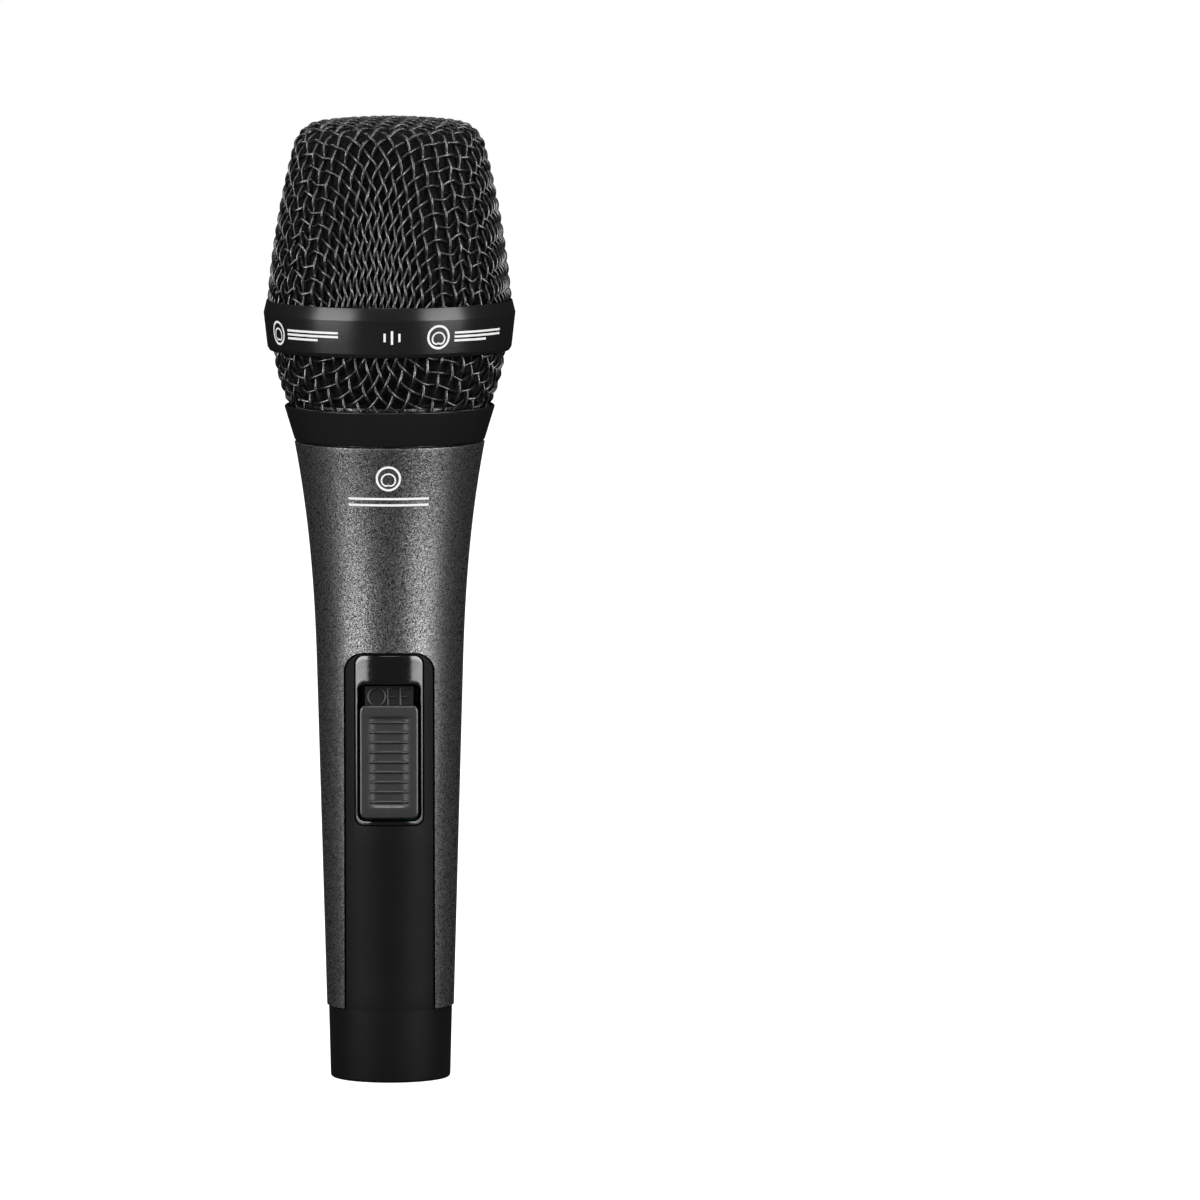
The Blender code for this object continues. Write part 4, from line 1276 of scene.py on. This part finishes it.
@dataclass
class WovenBasket:
    """A plain-woven square wire cloth, drawn over a turned form without stretching its wires."""

    name: str
    node: str
    form: Outline
    lowest: float
    highest: float
    pitch: float = 2.6
    wire: float = 0.275
    crimp: float = 1.3
    turn: float = 39.0
    runs: int = 6
    sides: int = 8
    wander: float = 0.16
    seed: int = 11
    lock: float = 0.5
    shear_stiffness: float = 0.035
    shear_rest: float = 0.95
    settling: int = 700
    stride: float = 1.5

    def __post_init__(self) -> None:
        """Measures the form along its outline."""
        line = np.array(self.form)
        lengths = np.concatenate(([0.0], np.cumsum(np.linalg.norm(np.diff(line, axis=0), axis=1))))
        self.along = np.linspace(0.0, lengths[-1], 900)
        self.radii = np.interp(self.along, lengths, line[:, 0])
        self.heights = np.interp(self.along, lengths, line[:, 1])

    def at(self, s: float, angle: float) -> np.ndarray:
        """The point on the form at a distance from its pole and an angle round its axis."""
        r, z = np.interp(s, self.along, self.radii), np.interp(s, self.along, self.heights)
        return np.array((r * math.cos(angle), r * math.sin(angle), z))

    def normal(self, point: np.ndarray) -> np.ndarray:
        """The form's outward direction at a point.

        Args:
            point: A point near the form.

        Returns:
            A unit vector.
        """
        radius = math.hypot(point[0], point[1])
        reach = 6
        i = int(np.argmin((self.radii - radius) ** 2 + (self.heights - point[2]) ** 2))
        i = min(max(i, reach), len(self.along) - reach - 1)
        dr = self.radii[i + reach] - self.radii[i - reach]
        dz = self.heights[i + reach] - self.heights[i - reach]
        out, up = (-dz, dr) if self.heights[0] > self.heights[-1] else (dz, -dr)
        length = math.hypot(out, up)
        direction = point[:2] / max(radius, 1e-6)
        return np.array((direction[0] * out, direction[1] * out, up)) / length

    def crossing(
        self, before: np.ndarray, beside: np.ndarray, behind: np.ndarray
    ) -> tuple[np.ndarray, float]:
        """The next crossing of two wires: one pitch from each of its two neighbours, on the form.

        Args:
            before: The neighbour along one wire.
            beside: The neighbour along the other wire.
            behind: The crossing that both neighbours share.

        Returns:
            The crossing, and its distance from the form's pole.
        """
        guess = before + beside - behind
        radius = math.hypot(guess[0], guess[1])
        s = float(self.along[int(np.argmin((self.radii - radius) ** 2 + (self.heights - guess[2]) ** 2))])
        angle = math.atan2(guess[1], guess[0])
        step = 1e-4
        for _ in range(12):
            point = self.at(s, angle)
            to_before, to_beside = point - before, point - beside
            error = np.array((to_before @ to_before, to_beside @ to_beside)) - self.pitch**2
            by_s = (self.at(s + step, angle) - point) / step
            by_angle = (self.at(s, angle + step) - point) / step
            slope = 2 * np.array([(way @ by_s, way @ by_angle) for way in (to_before, to_beside)])
            if abs(np.linalg.det(slope)) < 1e-9:
                break
            change = np.linalg.solve(slope, error)
            s -= float(np.clip(change[0], -1.0, 1.0))
            angle -= float(np.clip(change[1], -0.3, 0.3))
            if np.abs(error).max() < 1e-7:
                break
        return self.at(s, angle), s

    def lay_quarter(self) -> Cloth:
        """Lays the crossings between two wires that cross at the pole, outwards from the pole.

        Returns:
            Crossings by their numbers along the two wires.
        """
        reach = self.along[-1]
        count = int(reach / self.pitch)
        start = math.radians(self.turn)
        first = {(i, 0): self.at(self.chord_step(i), start) for i in range(count + 1)}
        second = {(0, j): self.at(self.chord_step(j), start + math.pi / 2) for j in range(count + 1)}
        crossings = {**first, **second}
        for i in range(1, 4 * count):
            for j in range(1, 4 * count):
                keys = ((i - 1, j), (i, j - 1), (i - 1, j - 1))
                if not all(key in crossings for key in keys):
                    break
                point, s = self.crossing(*(crossings[key] for key in keys))
                if s >= reach - 0.01:
                    break
                crossings[(i, j)] = point
        return crossings

    def chord_step(self, count: int) -> float:
        """The distance from the pole of a wire's crossing number count."""
        return min(count * self.pitch, float(self.along[-1]))

    def lay_cloth(self) -> Cloth:
        """Turns the quarter round the pole four times, and lets the crossings wander a little.

        Returns:
            All crossings by number.
        """
        cloth = {}
        for key, point in self.lay_quarter().items():
            (i, j), (x, y, z) = key, point
            for _ in range(4):
                cloth[(i, j)] = np.array((x, y, z))
                i, j, x, y = -j, i, -y, x
        cloth = self.settle(cloth)
        random = np.random.default_rng(self.seed)
        slowness, swell_share, shake_share = 0.35, 0.4, 0.35
        waves = random.normal(size=(6, 3)) * slowness
        phases = random.uniform(0, FULL_TURN, size=(6, 2))
        for key in sorted(cloth):
            point = cloth[key]
            up = self.normal(point)
            side = np.cross(up, (0.0, 0.0, 1.0))
            side = side / max(np.linalg.norm(side), 1e-6)
            down = np.cross(side, up)
            swell = [np.sin(waves @ point + phases[:, way]).sum() for way in (0, 1)]
            shake = random.normal(size=2) * shake_share
            shift = (np.array(swell) * swell_share + shake) * self.wander
            cloth[key] = point + side * shift[0] + down * shift[1]
        return cloth

    def settle(self, cloth: Cloth) -> Cloth:
        """Lets the wires push each other apart where the cloth has sheared until they would touch.

        Args:
            cloth: All crossings by number.

        Returns:
            The settled crossings.
        """
        keys = sorted(cloth)
        number = {key: n for n, key in enumerate(keys)}
        points = np.array([cloth[key] for key in keys])

        def links(a: int, b: int) -> list[tuple[int, int]]:
            """Pairs of crossings that lie a and b wires apart."""
            return [(number[i, j], number[i + a, j + b]) for i, j in keys if (i + a, j + b) in number]

        sides, slants = np.array(links(1, 0) + links(0, 1)), np.array(links(1, 1) + links(1, -1))
        ties = (
            (sides, 1.0, 1.0, False),
            (slants, self.lock, 1.0, True),
            (slants, self.shear_rest, self.shear_stiffness, True),
        )
        for _ in range(self.settling):
            moves, counts = np.zeros_like(points), np.full(len(points), 1e-9)
            for pairs, rest, stiffness, push_only in ties:
                gap = points[pairs[:, 1]] - points[pairs[:, 0]]
                length = np.linalg.norm(gap, axis=1)
                excess = length - rest * self.pitch
                used = excess < 0 if push_only else np.full(len(excess), True)
                pull = gap[used] / length[used, None] * excess[used, None] / 2 * stiffness
                for end, sign in ((0, 1.0), (1, -1.0)):
                    np.add.at(moves, pairs[used, end], sign * pull)
                    np.add.at(counts, pairs[used, end], 1.0)
            points = self.press(points + self.stride * moves / counts[:, None])
        return dict(zip(keys, points))

    def press(self, points: np.ndarray) -> np.ndarray:
        """Moves points back on the form, along rays from the form's middle."""
        middle, up = self.heights[-1], 1.0 if self.heights[0] > self.heights[-1] else -1.0
        tilts = np.arctan2(self.radii, up * (self.heights - middle))
        reaches = np.hypot(self.radii, self.heights - middle)
        radius = np.hypot(points[:, 0], points[:, 1])
        tilt = np.arctan2(radius, up * (points[:, 2] - middle))
        reach = np.interp(tilt, tilts, reaches)
        flat = points[:, :2] / np.maximum(radius, 1e-9)[:, None] * (reach * np.sin(tilt))[:, None]
        return np.column_stack((flat, middle + up * reach * np.cos(tilt)))

    def wires(self, cloth: Cloth, weft: bool) -> Iterable[WireLine]:
        """Draws the wires of one direction, over and under those of the other.

        Args:
            cloth: All crossings by number.
            weft: Which of the two directions.

        Yields:
            Each wire's centre line and its outward directions.
        """
        lines: dict[int, list[tuple[int, np.ndarray]]] = {}
        for (i, j), point in cloth.items():
            lines.setdefault(i if weft else j, []).append((j if weft else i, point))
        for number, crossings in sorted(lines.items()):
            crossings.sort(key=lambda item: item[0])
            run = [crossings[0]]
            beyond_all = (10**6, None)
            for item in [*crossings[1:], beyond_all]:
                if item[0] == run[-1][0] + 1:
                    run.append(item)
                    continue
                if len(run) > 1:
                    yield from self.bend_wire(run, number, weft)
                run = [item]

    def bend_wire(self, run: list[tuple[int, np.ndarray]], number: int, weft: bool) -> Iterable[WireLine]:
        """Bends one wire over and under, and trims it at the basket's rims.

        Args:
            run: Neighbouring crossings along the wire, with their numbers.
            number: The wire's own number.
            weft: Which of the two directions.

        Yields:
            Centre lines and outward directions.
        """
        points = np.array([point for _, point in run])
        ups = np.array([self.normal(point) for point in points])
        line, out = smooth_line(points, self.runs), smooth_line(ups, self.runs)
        out /= np.linalg.norm(out, axis=1)[:, None]
        step = np.arange(len(line)) / self.runs + run[0][0] + number
        wave = np.cos(math.pi * step) * (-1.0 if weft else 1.0)
        line = line + out * (wave * self.wire * self.crimp)[:, None]
        kept = (line[:, 2] > self.lowest) & (line[:, 2] < self.highest)
        marks = np.flatnonzero(np.diff(np.concatenate(([0], kept.astype(int), [0]))))
        shortest = 3
        for start, end in zip(marks[::2], marks[1::2]):
            if end - start > shortest:
                yield line[start:end], out[start:end]

    def build(self) -> None:
        """Builds the two sets of wires, each as one piece."""
        cloth = self.lay_cloth()
        for weft, label in ((False, "warp"), (True, "weft")):
            mould = Mould()
            for line, ups in self.wires(cloth, weft):
                draw_rod(mould, line, ups, self.wire, self.sides)
            piece = mould.release(f"{self.name}_{label}", sharp=80)
            fit_out(piece, Body.HEAD, WIRE_COAT, [self.node])


@dataclass
class Head:
    """The two baskets, the band between them, the screwed collar and the foam behind the wires."""

    cloth_depth: float = 0.67
    crown_top: float = 184.0
    crown_radius: float = 110.0
    crown_angle: float = 6.9
    corner_radius: float = 6.0
    corner_angle: float = 75.2
    wall_radius: float = 170.0
    wall_bottom: float = 150.0
    bowl_radius: float = 32.0
    bowl_rim: float = 22.2
    bowl_top: float = 139.3
    bowl_tilt: float = 6.0

    def dome(self, inset: float) -> Outline:
        """The upper form from its crown to its foot: three arcs that touch smoothly."""
        crown, corner = math.radians(self.crown_angle), math.radians(self.corner_angle)
        first = (0.0, self.crown_top - self.crown_radius)
        step = self.crown_radius - self.corner_radius
        second = (first[0] + step * math.sin(crown), first[1] + step * math.cos(crown))
        step = self.corner_radius - self.wall_radius
        third = (second[0] + step * math.sin(corner), second[1] + step * math.cos(corner))
        foot = math.degrees(math.acos((self.wall_bottom - third[1]) / self.wall_radius))
        outline = arc(first, self.crown_radius - inset, 0, self.crown_angle, 12)
        outline += arc(second, self.corner_radius - inset, self.crown_angle, self.corner_angle, 24)[1:]
        outline += arc(third, self.wall_radius - inset, self.corner_angle, foot, 40)[1:]
        return outline

    def bowl(self, inset: float, lowest: float) -> Outline:
        """The lower form from a height up to its rim, as one arc."""
        tilt = math.radians(self.bowl_tilt)
        centre = (
            self.bowl_rim - self.bowl_radius * math.cos(tilt),
            self.bowl_top + self.bowl_radius * math.sin(tilt),
        )
        end = 90 + math.degrees(math.asin((centre[1] - lowest) / self.bowl_radius))
        return arc(centre, self.bowl_radius - inset, end, 90 + self.bowl_tilt, 30)

    def build(self) -> None:
        """Builds every piece of the head."""
        self.build_baskets()
        self.build_band()
        self.build_collar()
        self.build_foam()

    def build_baskets(self) -> None:
        """Lays the wire cloth over the upper form, and over the lower one from a flat bottom."""
        depth = self.cloth_depth
        upper = self.dome(depth) + [(22.45, 149.0), (22.3, 148.4), (22.3, 134.0)]
        WovenBasket("upper_basket", "upper_grille", upper, 147.4, 190.0).build()
        bowl = self.bowl(depth, 128.9)
        corner, turn = 2.2, bowl[0]
        floor = turn[1] - 1.6
        lower = [(0.0, floor), (turn[0] - corner, floor), (turn[0] - 0.6, floor + 0.45), *bowl, (21.8, 152.0)]
        WovenBasket("lower_basket", "lower_grille", lower, 128.2, 141.2, turn=41.0, seed=5).build()

    def build_band(self) -> None:
        """Turns the band that joins the two baskets, and the ring that clamps them inside."""
        low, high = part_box("grille_band")
        bottom, top, widest = low[2] / MM, high[2] / MM, high[0] / MM
        outline = [
            (23.12, top - 0.05), (23.42, top), (widest, top - 2.4), (23.28, bottom + 0.75), (22.85, bottom),
            (22.55, bottom + 0.05), (22.55, 144.6), (23.0, 144.9),
        ]
        mould = Mould()
        turn_outline(mould, fillet(outline, 0.3, 5), 256)
        fit_out(mould.release("head_band"), Body.HEAD, BLACK_METAL, ["grille_band"])
        low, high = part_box("clamp_ring")
        bottom, top, inner, outer = low[2] / MM, high[2] / MM, 20.0, 20.7
        flange_low, flange_high, flange_radius = 143.9, 144.5, 22.5
        ring = [
            (inner, top), (outer, top), (outer, flange_high), (flange_radius, flange_high),
            (flange_radius, flange_low), (outer, flange_low), (outer, bottom), (inner, bottom),
        ]
        mould = Mould()
        turn_outline(mould, fillet(ring, 0.15), 128)
        fit_out(mould.release("clamp_band"), Body.HEAD, BLACK_METAL, ["clamp_ring"])

    def build_collar(self) -> None:
        """Turns the collar that screws on the neck, with the thin lip that holds the lower basket."""
        low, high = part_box("grille_collar")
        bottom, top = low[2] / MM, high[2] / MM
        outline = [
            (17.0, top), (17.75, top), (17.75, 127.0), (19.0, 127.0), (19.62, top), (19.85, top + 0.02),
            (20.05, top - 0.2), (19.98, top - 0.5), (18.2, bottom + 0.35), (17.95, bottom), (17.0, bottom),
        ]
        mould = Mould()
        turn_outline(mould, fillet(outline, 0.12, 3), 256)
        fit_out(mould.release("screw_collar"), Body.HEAD, BLACK_METAL, ["grille_collar"])

    def build_foam(self) -> None:
        """Turns the foam liner, and gives its skin the unevenness of cut foam."""
        outer_gap, thickness, longest_run = 1.5, 2.2, 0.8
        roughness, upright_share, ripple = 0.006, 0.2, 1.8
        foot = [(19.6, 148.5), (19.7, 138.5), (19.4, 134.5), (18.3, 130.4)]
        inner_foot = [(17.4, 148.5), (17.4, 139.0), (17.1, 134.5), (16.7, 130.4)]
        outline = self.dome(outer_gap) + foot + (self.dome(outer_gap + thickness) + inner_foot)[::-1]
        dense = [outline[0]]
        for first, second in zip(outline, outline[1:]):
            runs = max(1, round(math.dist(first, second) / longest_run))
            way = np.array(second) - first
            dense += [tuple(np.array(first) + way * k / runs) for k in range(1, runs + 1)]
        mould = Mould()
        turn_outline(mould, dense, 160)
        random = np.random.default_rng(3)
        points = mould.points[0]
        waves, phases = random.normal(size=(12, 3)) * ripple, random.uniform(0, FULL_TURN, 12)
        rough = np.sin(points @ waves.T + phases).sum(axis=1) / 12
        mould.points[0] = points * (1 + np.column_stack((rough, rough, rough * upright_share)) * roughness)
        piece = fit_out(mould.release("foam_windscreen", sharp=180), Body.LINER, FOAM, ["foam_liner"])


# ---------------------------------------------------------------- printed marks


@dataclass
class PrintedMarks:
    """Generic white marks: heart-shaped pickup pattern signs and plain rules, printed on band and handle."""

    handle: HandleShell
    proud: float = 0.035
    line: float = 0.42
    sunk: float = 0.01
    band_radius: float = 23.64
    band_slope: float = 0.72 / 6.45
    band_angles: tuple[float, ...] = (-62.0, 24.0, 112.0, 200.0)
    tick_angles: tuple[float, ...] = (2.0, 176.0)
    band_sign: float = 4.2
    band_rules: tuple[Point2, ...] = ((0.75, 12.5), (0.0, 12.5), (-0.75, 8.0))
    band_ticks: tuple[Point2, ...] = ((-1.4, 0.8), (0.0, 1.3), (1.4, 0.8))
    front_sign: Point2 = (116.2, 4.4)
    front_rules: Point2 = (112.3, 111.1)
    front_half: float = 7.9
    back_sign: Point2 = (46.0, 5.2)
    back_rules: tuple[float, ...] = (-0.9, 0.0, 0.9)
    back_reach: Range = (-4.0, -25.0)

    def ribbon(
        self, mould: Mould, line: np.ndarray, width: float, lift: Lift, closed: bool = False
    ) -> None:
        """Adds a flat stroke of ink along a line.

        Args:
            mould: Where the stroke goes.
            line: The stroke's middle line, in the plane of the print.
            width: The stroke's width.
            lift: Places points of the plane on the object, at a height above it.
            closed: Whether the line is a loop.
        """
        if closed:
            along = np.roll(line, -1, axis=0) - np.roll(line, 1, axis=0)
        else:
            along = np.gradient(line, axis=0)
        along /= np.linalg.norm(along, axis=1)[:, None]
        side = np.column_stack((-along[:, 1], along[:, 0])) * width / 2
        left, right = line + side, line - side
        rings = [lift(left, 0.0), lift(left, self.proud), lift(right, self.proud), lift(right, 0.0)]
        points = np.stack(rings, axis=1).reshape(-1, 3)
        faces = grid_faces(len(line), 4, wrap_rows=closed, wrap_columns=True)
        if not closed:
            last = len(points) - 4
            faces += [(0, 1, 2, 3), (last, last + 1, last + 2, last + 3)]
        mould.pour(points, faces)

    def heart(self, centre: Point2, size: float) -> np.ndarray:
        """A pickup pattern's heart-shaped curve.

        Args:
            centre: Its middle in the plane of the print.
            size: Its width.

        Returns:
            Points round the curve.
        """
        angles = np.linspace(0, FULL_TURN, 73)[:-1]
        widest, drop = 2.6, 0.42
        reach = (1 + np.cos(angles)) * size / widest
        across, up = reach * np.sin(angles), reach * np.cos(angles) - size * drop
        return np.column_stack((centre[0] + across, centre[1] + up))

    def circle(self, centre: Point2, radius: float) -> np.ndarray:
        """Points round a circle in the plane of the print."""
        angles = np.linspace(0, FULL_TURN, 73)[:-1]
        return np.column_stack((centre[0] + radius * np.cos(angles), centre[1] + radius * np.sin(angles)))

    def rule(self, first: Point2, second: Point2) -> np.ndarray:
        """Points along a straight rule."""
        return np.linspace(first, second, 24)

    def sign(self, mould: Mould, lift: Lift, size: float) -> None:
        """Adds the pickup pattern sign: the heart-shaped curve inside a ring.

        Args:
            mould: Where the sign goes.
            lift: Places points of the plane on the object.
            size: The sign's width.
        """
        middle, heart_share, fine_share = (0.0, 0.0), 0.6, 0.7
        self.ribbon(mould, self.circle(middle, size / 2), self.line, lift, closed=True)
        self.ribbon(mould, self.heart(middle, size * heart_share), self.line * fine_share, lift, closed=True)

    def on_cone(self, angle: float, height: float, radius: float, slope: float) -> Lift:
        """Makes a placing function for a print on a nearly upright wall.

        Args:
            angle: Where the print's middle lies, in degrees to the right of the switch.
            height: The print's middle.
            radius: The wall's radius there.
            slope: How much the radius grows with height.

        Returns:
            The placing function.
        """

        def lift(places: np.ndarray, above: float) -> np.ndarray:
            """Places points of the print, x along the wall and y up it."""
            turn = math.radians(angle) + places[:, 0] / radius
            reach = radius + slope * places[:, 1] + above - self.sunk
            return np.column_stack((reach * np.sin(turn), -reach * np.cos(turn), height + places[:, 1]))

        return lift

    def on_handle(self, angle: float, height: float) -> Lift:
        """Makes a placing function for a print on the handle.

        Args:
            angle: Where the print's middle lies, in degrees to the right of the switch.
            height: The print's middle.

        Returns:
            The placing function.
        """
        above, below = float(self.handle.radius(height + 1)), float(self.handle.radius(height - 1))
        return self.on_cone(angle, height, float(self.handle.radius(height)), (above - below) / 2)

    def build(self) -> None:
        """Prints the band, and the handle's front and back."""
        self.print_band()
        self.print_handle()

    def print_band(self) -> None:
        """Prints signs with rules round the band, and short ticks between them."""
        low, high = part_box("grille_band")
        foot, shoulder = 0.75, 2.4
        height = (low[2] / MM + foot + high[2] / MM - shoulder) / 2
        rule_start = 3.4
        mould = Mould()
        for angle in self.band_angles:
            lift = self.on_cone(angle, height, self.band_radius, self.band_slope)
            self.sign(mould, lift, self.band_sign)
            for row, length in self.band_rules:
                rule = self.rule((rule_start, row), (rule_start + length, row))
                self.ribbon(mould, rule, self.line, lift)
        for angle in self.tick_angles:
            lift = self.on_cone(angle, height, self.band_radius, self.band_slope)
            for column, half in self.band_ticks:
                self.ribbon(mould, self.rule((column, -half), (column, half)), self.line, lift)
        fit_out(mould.release("band_print"), Body.HEAD, INK)

    def print_handle(self) -> None:
        """Prints a sign over two rules on the front, and a sign over three upright rules on the back."""
        mould = Mould()
        height, size = self.front_sign
        self.sign(mould, self.on_handle(0.0, height), size)
        height, size = self.back_sign
        lift = self.on_handle(180.0, height)
        self.sign(mould, lift, size)
        start, end = self.back_reach
        for column in self.back_rules:
            self.ribbon(mould, self.rule((column, start), (column, end)), self.line, lift)
        middle = 111.6
        lift = self.on_handle(0.0, middle)
        for height in self.front_rules:
            row = height - middle
            rule = self.rule((-self.front_half, row), (self.front_half, row))
            self.ribbon(mould, rule, self.line, lift)
        fit_out(mould.release("handle_print"), Body.GRIP, INK)


# ---------------------------------------------------------------- inside


@dataclass
class Internals:
    """The pieces inside the handle and head that keep the frame's own shapes."""

    nodes: dict[str, bpy.types.Object]
    finishes: dict[str, Finish] = field(default_factory=lambda: {
        "switch_frame": LABEL_PLATE,
        "switch_case": STEEL,
        "switch_board": BOARD_MASK,
        "board_screw_lower": STEEL,
        "board_screw_upper": STEEL,
        "switch_actuator": SLEEVE_PLASTIC,
        "capsule_carrier": SLEEVE_PLASTIC,
        "shock_mount": RUBBER,
        "capsule_housing": ALUMINIUM,
        "capsule_cap": ALUMINIUM,
        "magnet_pot": STEEL,
        "magnet": MAGNET,
        "pole_plate": STEEL,
        "diaphragm_seat": BRASS,
        "diaphragm": FILM,
        "voice_coil": COPPER,
        "port_felt": FELT,
        "front_felt": FELT,
        "capsule_tab_hot": BRASS,
        "capsule_tab_cold": BRASS,
        "lead_capsule_hot": LEAD_SKIN,
        "lead_capsule_cold": LEAD_SKIN,
        "lead_xlr_hot": LEAD_SKIN,
        "lead_xlr_cold": LEAD_SKIN,
        "lead_xlr_ground": LEAD_SKIN,
    })

    def dress(self) -> None:
        """Gives each piece its finish."""
        for name, finish in self.finishes.items():
            node = self.nodes[name]
            material = finish.material()
            if not node.material_slots:
                node.data.materials.append(material)
            for slot in node.material_slots:
                slot.material = material
            LOG.info("%s keeps its shape, in %s", name, finish.name)


# ---------------------------------------------------------------- studio


@dataclass
class Studio:
    """The camera, two tall softboxes, and a plain white floor and surround. Sizes here are in metres."""

    view_width: float = 0.2291
    aim: Point3 = (0.0401, 0.0, 0.0915)
    elevation: float = 5.5
    distance: float = 2.6
    sensor: float = 36.0
    box_size: Point2 = (0.8, 0.85)
    box_distance: float = 1.15
    box_height: float = 0.3
    box_angle: float = 53.0
    box_power: float = 22.0
    rear_size: Point2 = (0.8, 0.5)
    rear_height: float = 1.25
    rear_angle: float = 142.0
    rear_power: float = 14.0
    top_size: float = 0.4
    top_tilt: float = 58.0
    top_power: float = 4.0
    box_target: float = 0.1
    top_target: float = 0.12
    fill: float = 0.06
    floor_reach: float = 5.0

    def build(self) -> None:
        """Sets the camera, the lights, the floor and the surround."""
        self.set_camera()
        self.set_lights()
        self.set_floor()
        bpy.context.scene.view_settings.view_transform = "Standard"

    def set_camera(self) -> None:
        """Sets a long lens a little above the microphone, looking along +Y."""
        camera = bpy.data.cameras.new("camera")
        camera.sensor_width = self.sensor
        camera.lens = self.sensor * self.distance / self.view_width
        camera.clip_end = 4 * self.floor_reach
        obj = bpy.data.objects.new("camera", camera)
        tilt = math.radians(self.elevation)
        back = Vector((0.0, -math.cos(tilt), math.sin(tilt))) * self.distance
        obj.location = Vector(self.aim) + back
        obj.rotation_euler = (math.pi / 2 - tilt, 0.0, 0.0)
        bpy.context.scene.collection.objects.link(obj)
        bpy.context.scene.camera = obj

    def set_lights(self) -> None:
        """Sets tall softboxes left and right of the camera, weaker ones behind, and a soft top light."""
        for angle, height, power, size, label in (
            (-self.box_angle, self.box_height, self.box_power, self.box_size, "left"),
            (self.box_angle, self.box_height, self.box_power, self.box_size, "right"),
            (-self.rear_angle, self.rear_height, self.rear_power, self.rear_size, "rear_left"),
            (self.rear_angle, self.rear_height, self.rear_power, self.rear_size, "rear_right"),
        ):
            light = bpy.data.lights.new(f"softbox_{label}", "AREA")
            light.shape = "RECTANGLE"
            light.size, light.size_y = size
            light.energy = power
            turn = math.radians(angle)
            place = Vector((math.sin(turn), -math.cos(turn), 0.0)) * self.box_distance
            self.place_light(light, place + Vector((0, 0, height)), Vector((0, 0, self.box_target)))
        top = bpy.data.lights.new("top_light", "AREA")
        top.shape = "SQUARE"
        top.size = self.top_size
        top.energy = self.top_power
        tilt = math.radians(self.top_tilt)
        place = Vector((0.0, -math.cos(tilt), math.sin(tilt))) * self.box_distance
        self.place_light(top, place, Vector((0, 0, self.top_target)))
        world = bpy.data.worlds.new("studio")
        world.use_nodes = True
        world.node_tree.nodes["Background"].inputs[0].default_value = (self.fill,) * 3 + (1.0,)
        bpy.context.scene.world = world

    def place_light(self, light: bpy.types.Light, place: Vector, target: Vector) -> None:
        """Stands a light at a place and points it at a target.

        Args:
            light: The light.
            place: Where it stands.
            target: What it points at.
        """
        obj = bpy.data.objects.new(light.name, light)
        obj.location = place
        obj.rotation_euler = (target - place).to_track_quat("-Z", "Y").to_euler()
        obj.visible_camera = False
        bpy.context.scene.collection.objects.link(obj)

    def set_floor(self) -> None:
        """Lays a white floor, seen from above only, in a glowing ball. Neither lights the microphone."""
        reach, steps = self.floor_reach / MM, 96
        angles = np.arange(steps) * FULL_TURN / steps
        floor, wall = Mould(), Mould()
        rim = np.column_stack((reach * np.cos(angles), reach * np.sin(angles), np.zeros(steps)))
        floor.pour(rim, [tuple(range(steps))])
        ball = [(0.0, reach), *arc((0.0, 0.0), reach, 4, 176, 42), (0.0, -reach)]
        turn_outline(wall, ball, steps)
        for mould, name, glow, white in ((floor, "floor", 0.97, 0.3), (wall, "surround", 1.0, 0.05)):
            board = NodeBoard(f"studio {name}")
            grain = board.noise(40.0, 2.0)
            shade = board.blend(grain, (white,) * 3, (white * 0.98,) * 3)
            board.set(Base_Color=shade, Roughness=0.9, Emission_Color=(1.0, 1.0, 1.0), Emission_Strength=glow)
            if name == "floor":
                self.open_from_below(board)
            piece = mould.release(name)
            piece.data.materials.append(board.material)
            for ray in ("visible_diffuse", "visible_glossy"):
                setattr(piece, ray, False)
            piece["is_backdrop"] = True

    def open_from_below(self, board: NodeBoard) -> None:
        """Makes the floor's underside clear, so that it doesn't hide the tail.

        Args:
            board: The floor's material.
        """
        under = board.add("NewGeometry").outputs["Backfacing"]
        clear = board.add("BsdfTransparent").outputs[0]
        output = board.tree.nodes["Material Output"]
        mixed = board.add("MixShader", {0: under, 1: board.shader.outputs[0], 2: clear})
        board.feed(output.inputs["Surface"], mixed.outputs[0])


def main() -> None:
    """Builds the microphone's looks on its frame, and then the studio round it."""
    logging.basicConfig(level=logging.INFO, format="%(name)s: %(message)s")
    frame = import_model()
    frame_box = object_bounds()
    handle = HandleShell()
    handle.build()
    TailHousing(handle).build()
    SlideSwitch(handle).build()
    Connector().build()
    Head().build()
    PrintedMarks(handle).build()
    Internals(frame["nodes"]).dress()
    Studio().build()
    boxes = {"frame": frame_box, "looks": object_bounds()}
    plain = {name: [[float(value) for value in corner] for corner in box] for name, box in boxes.items()}


if __name__ == "__main__":
    main()
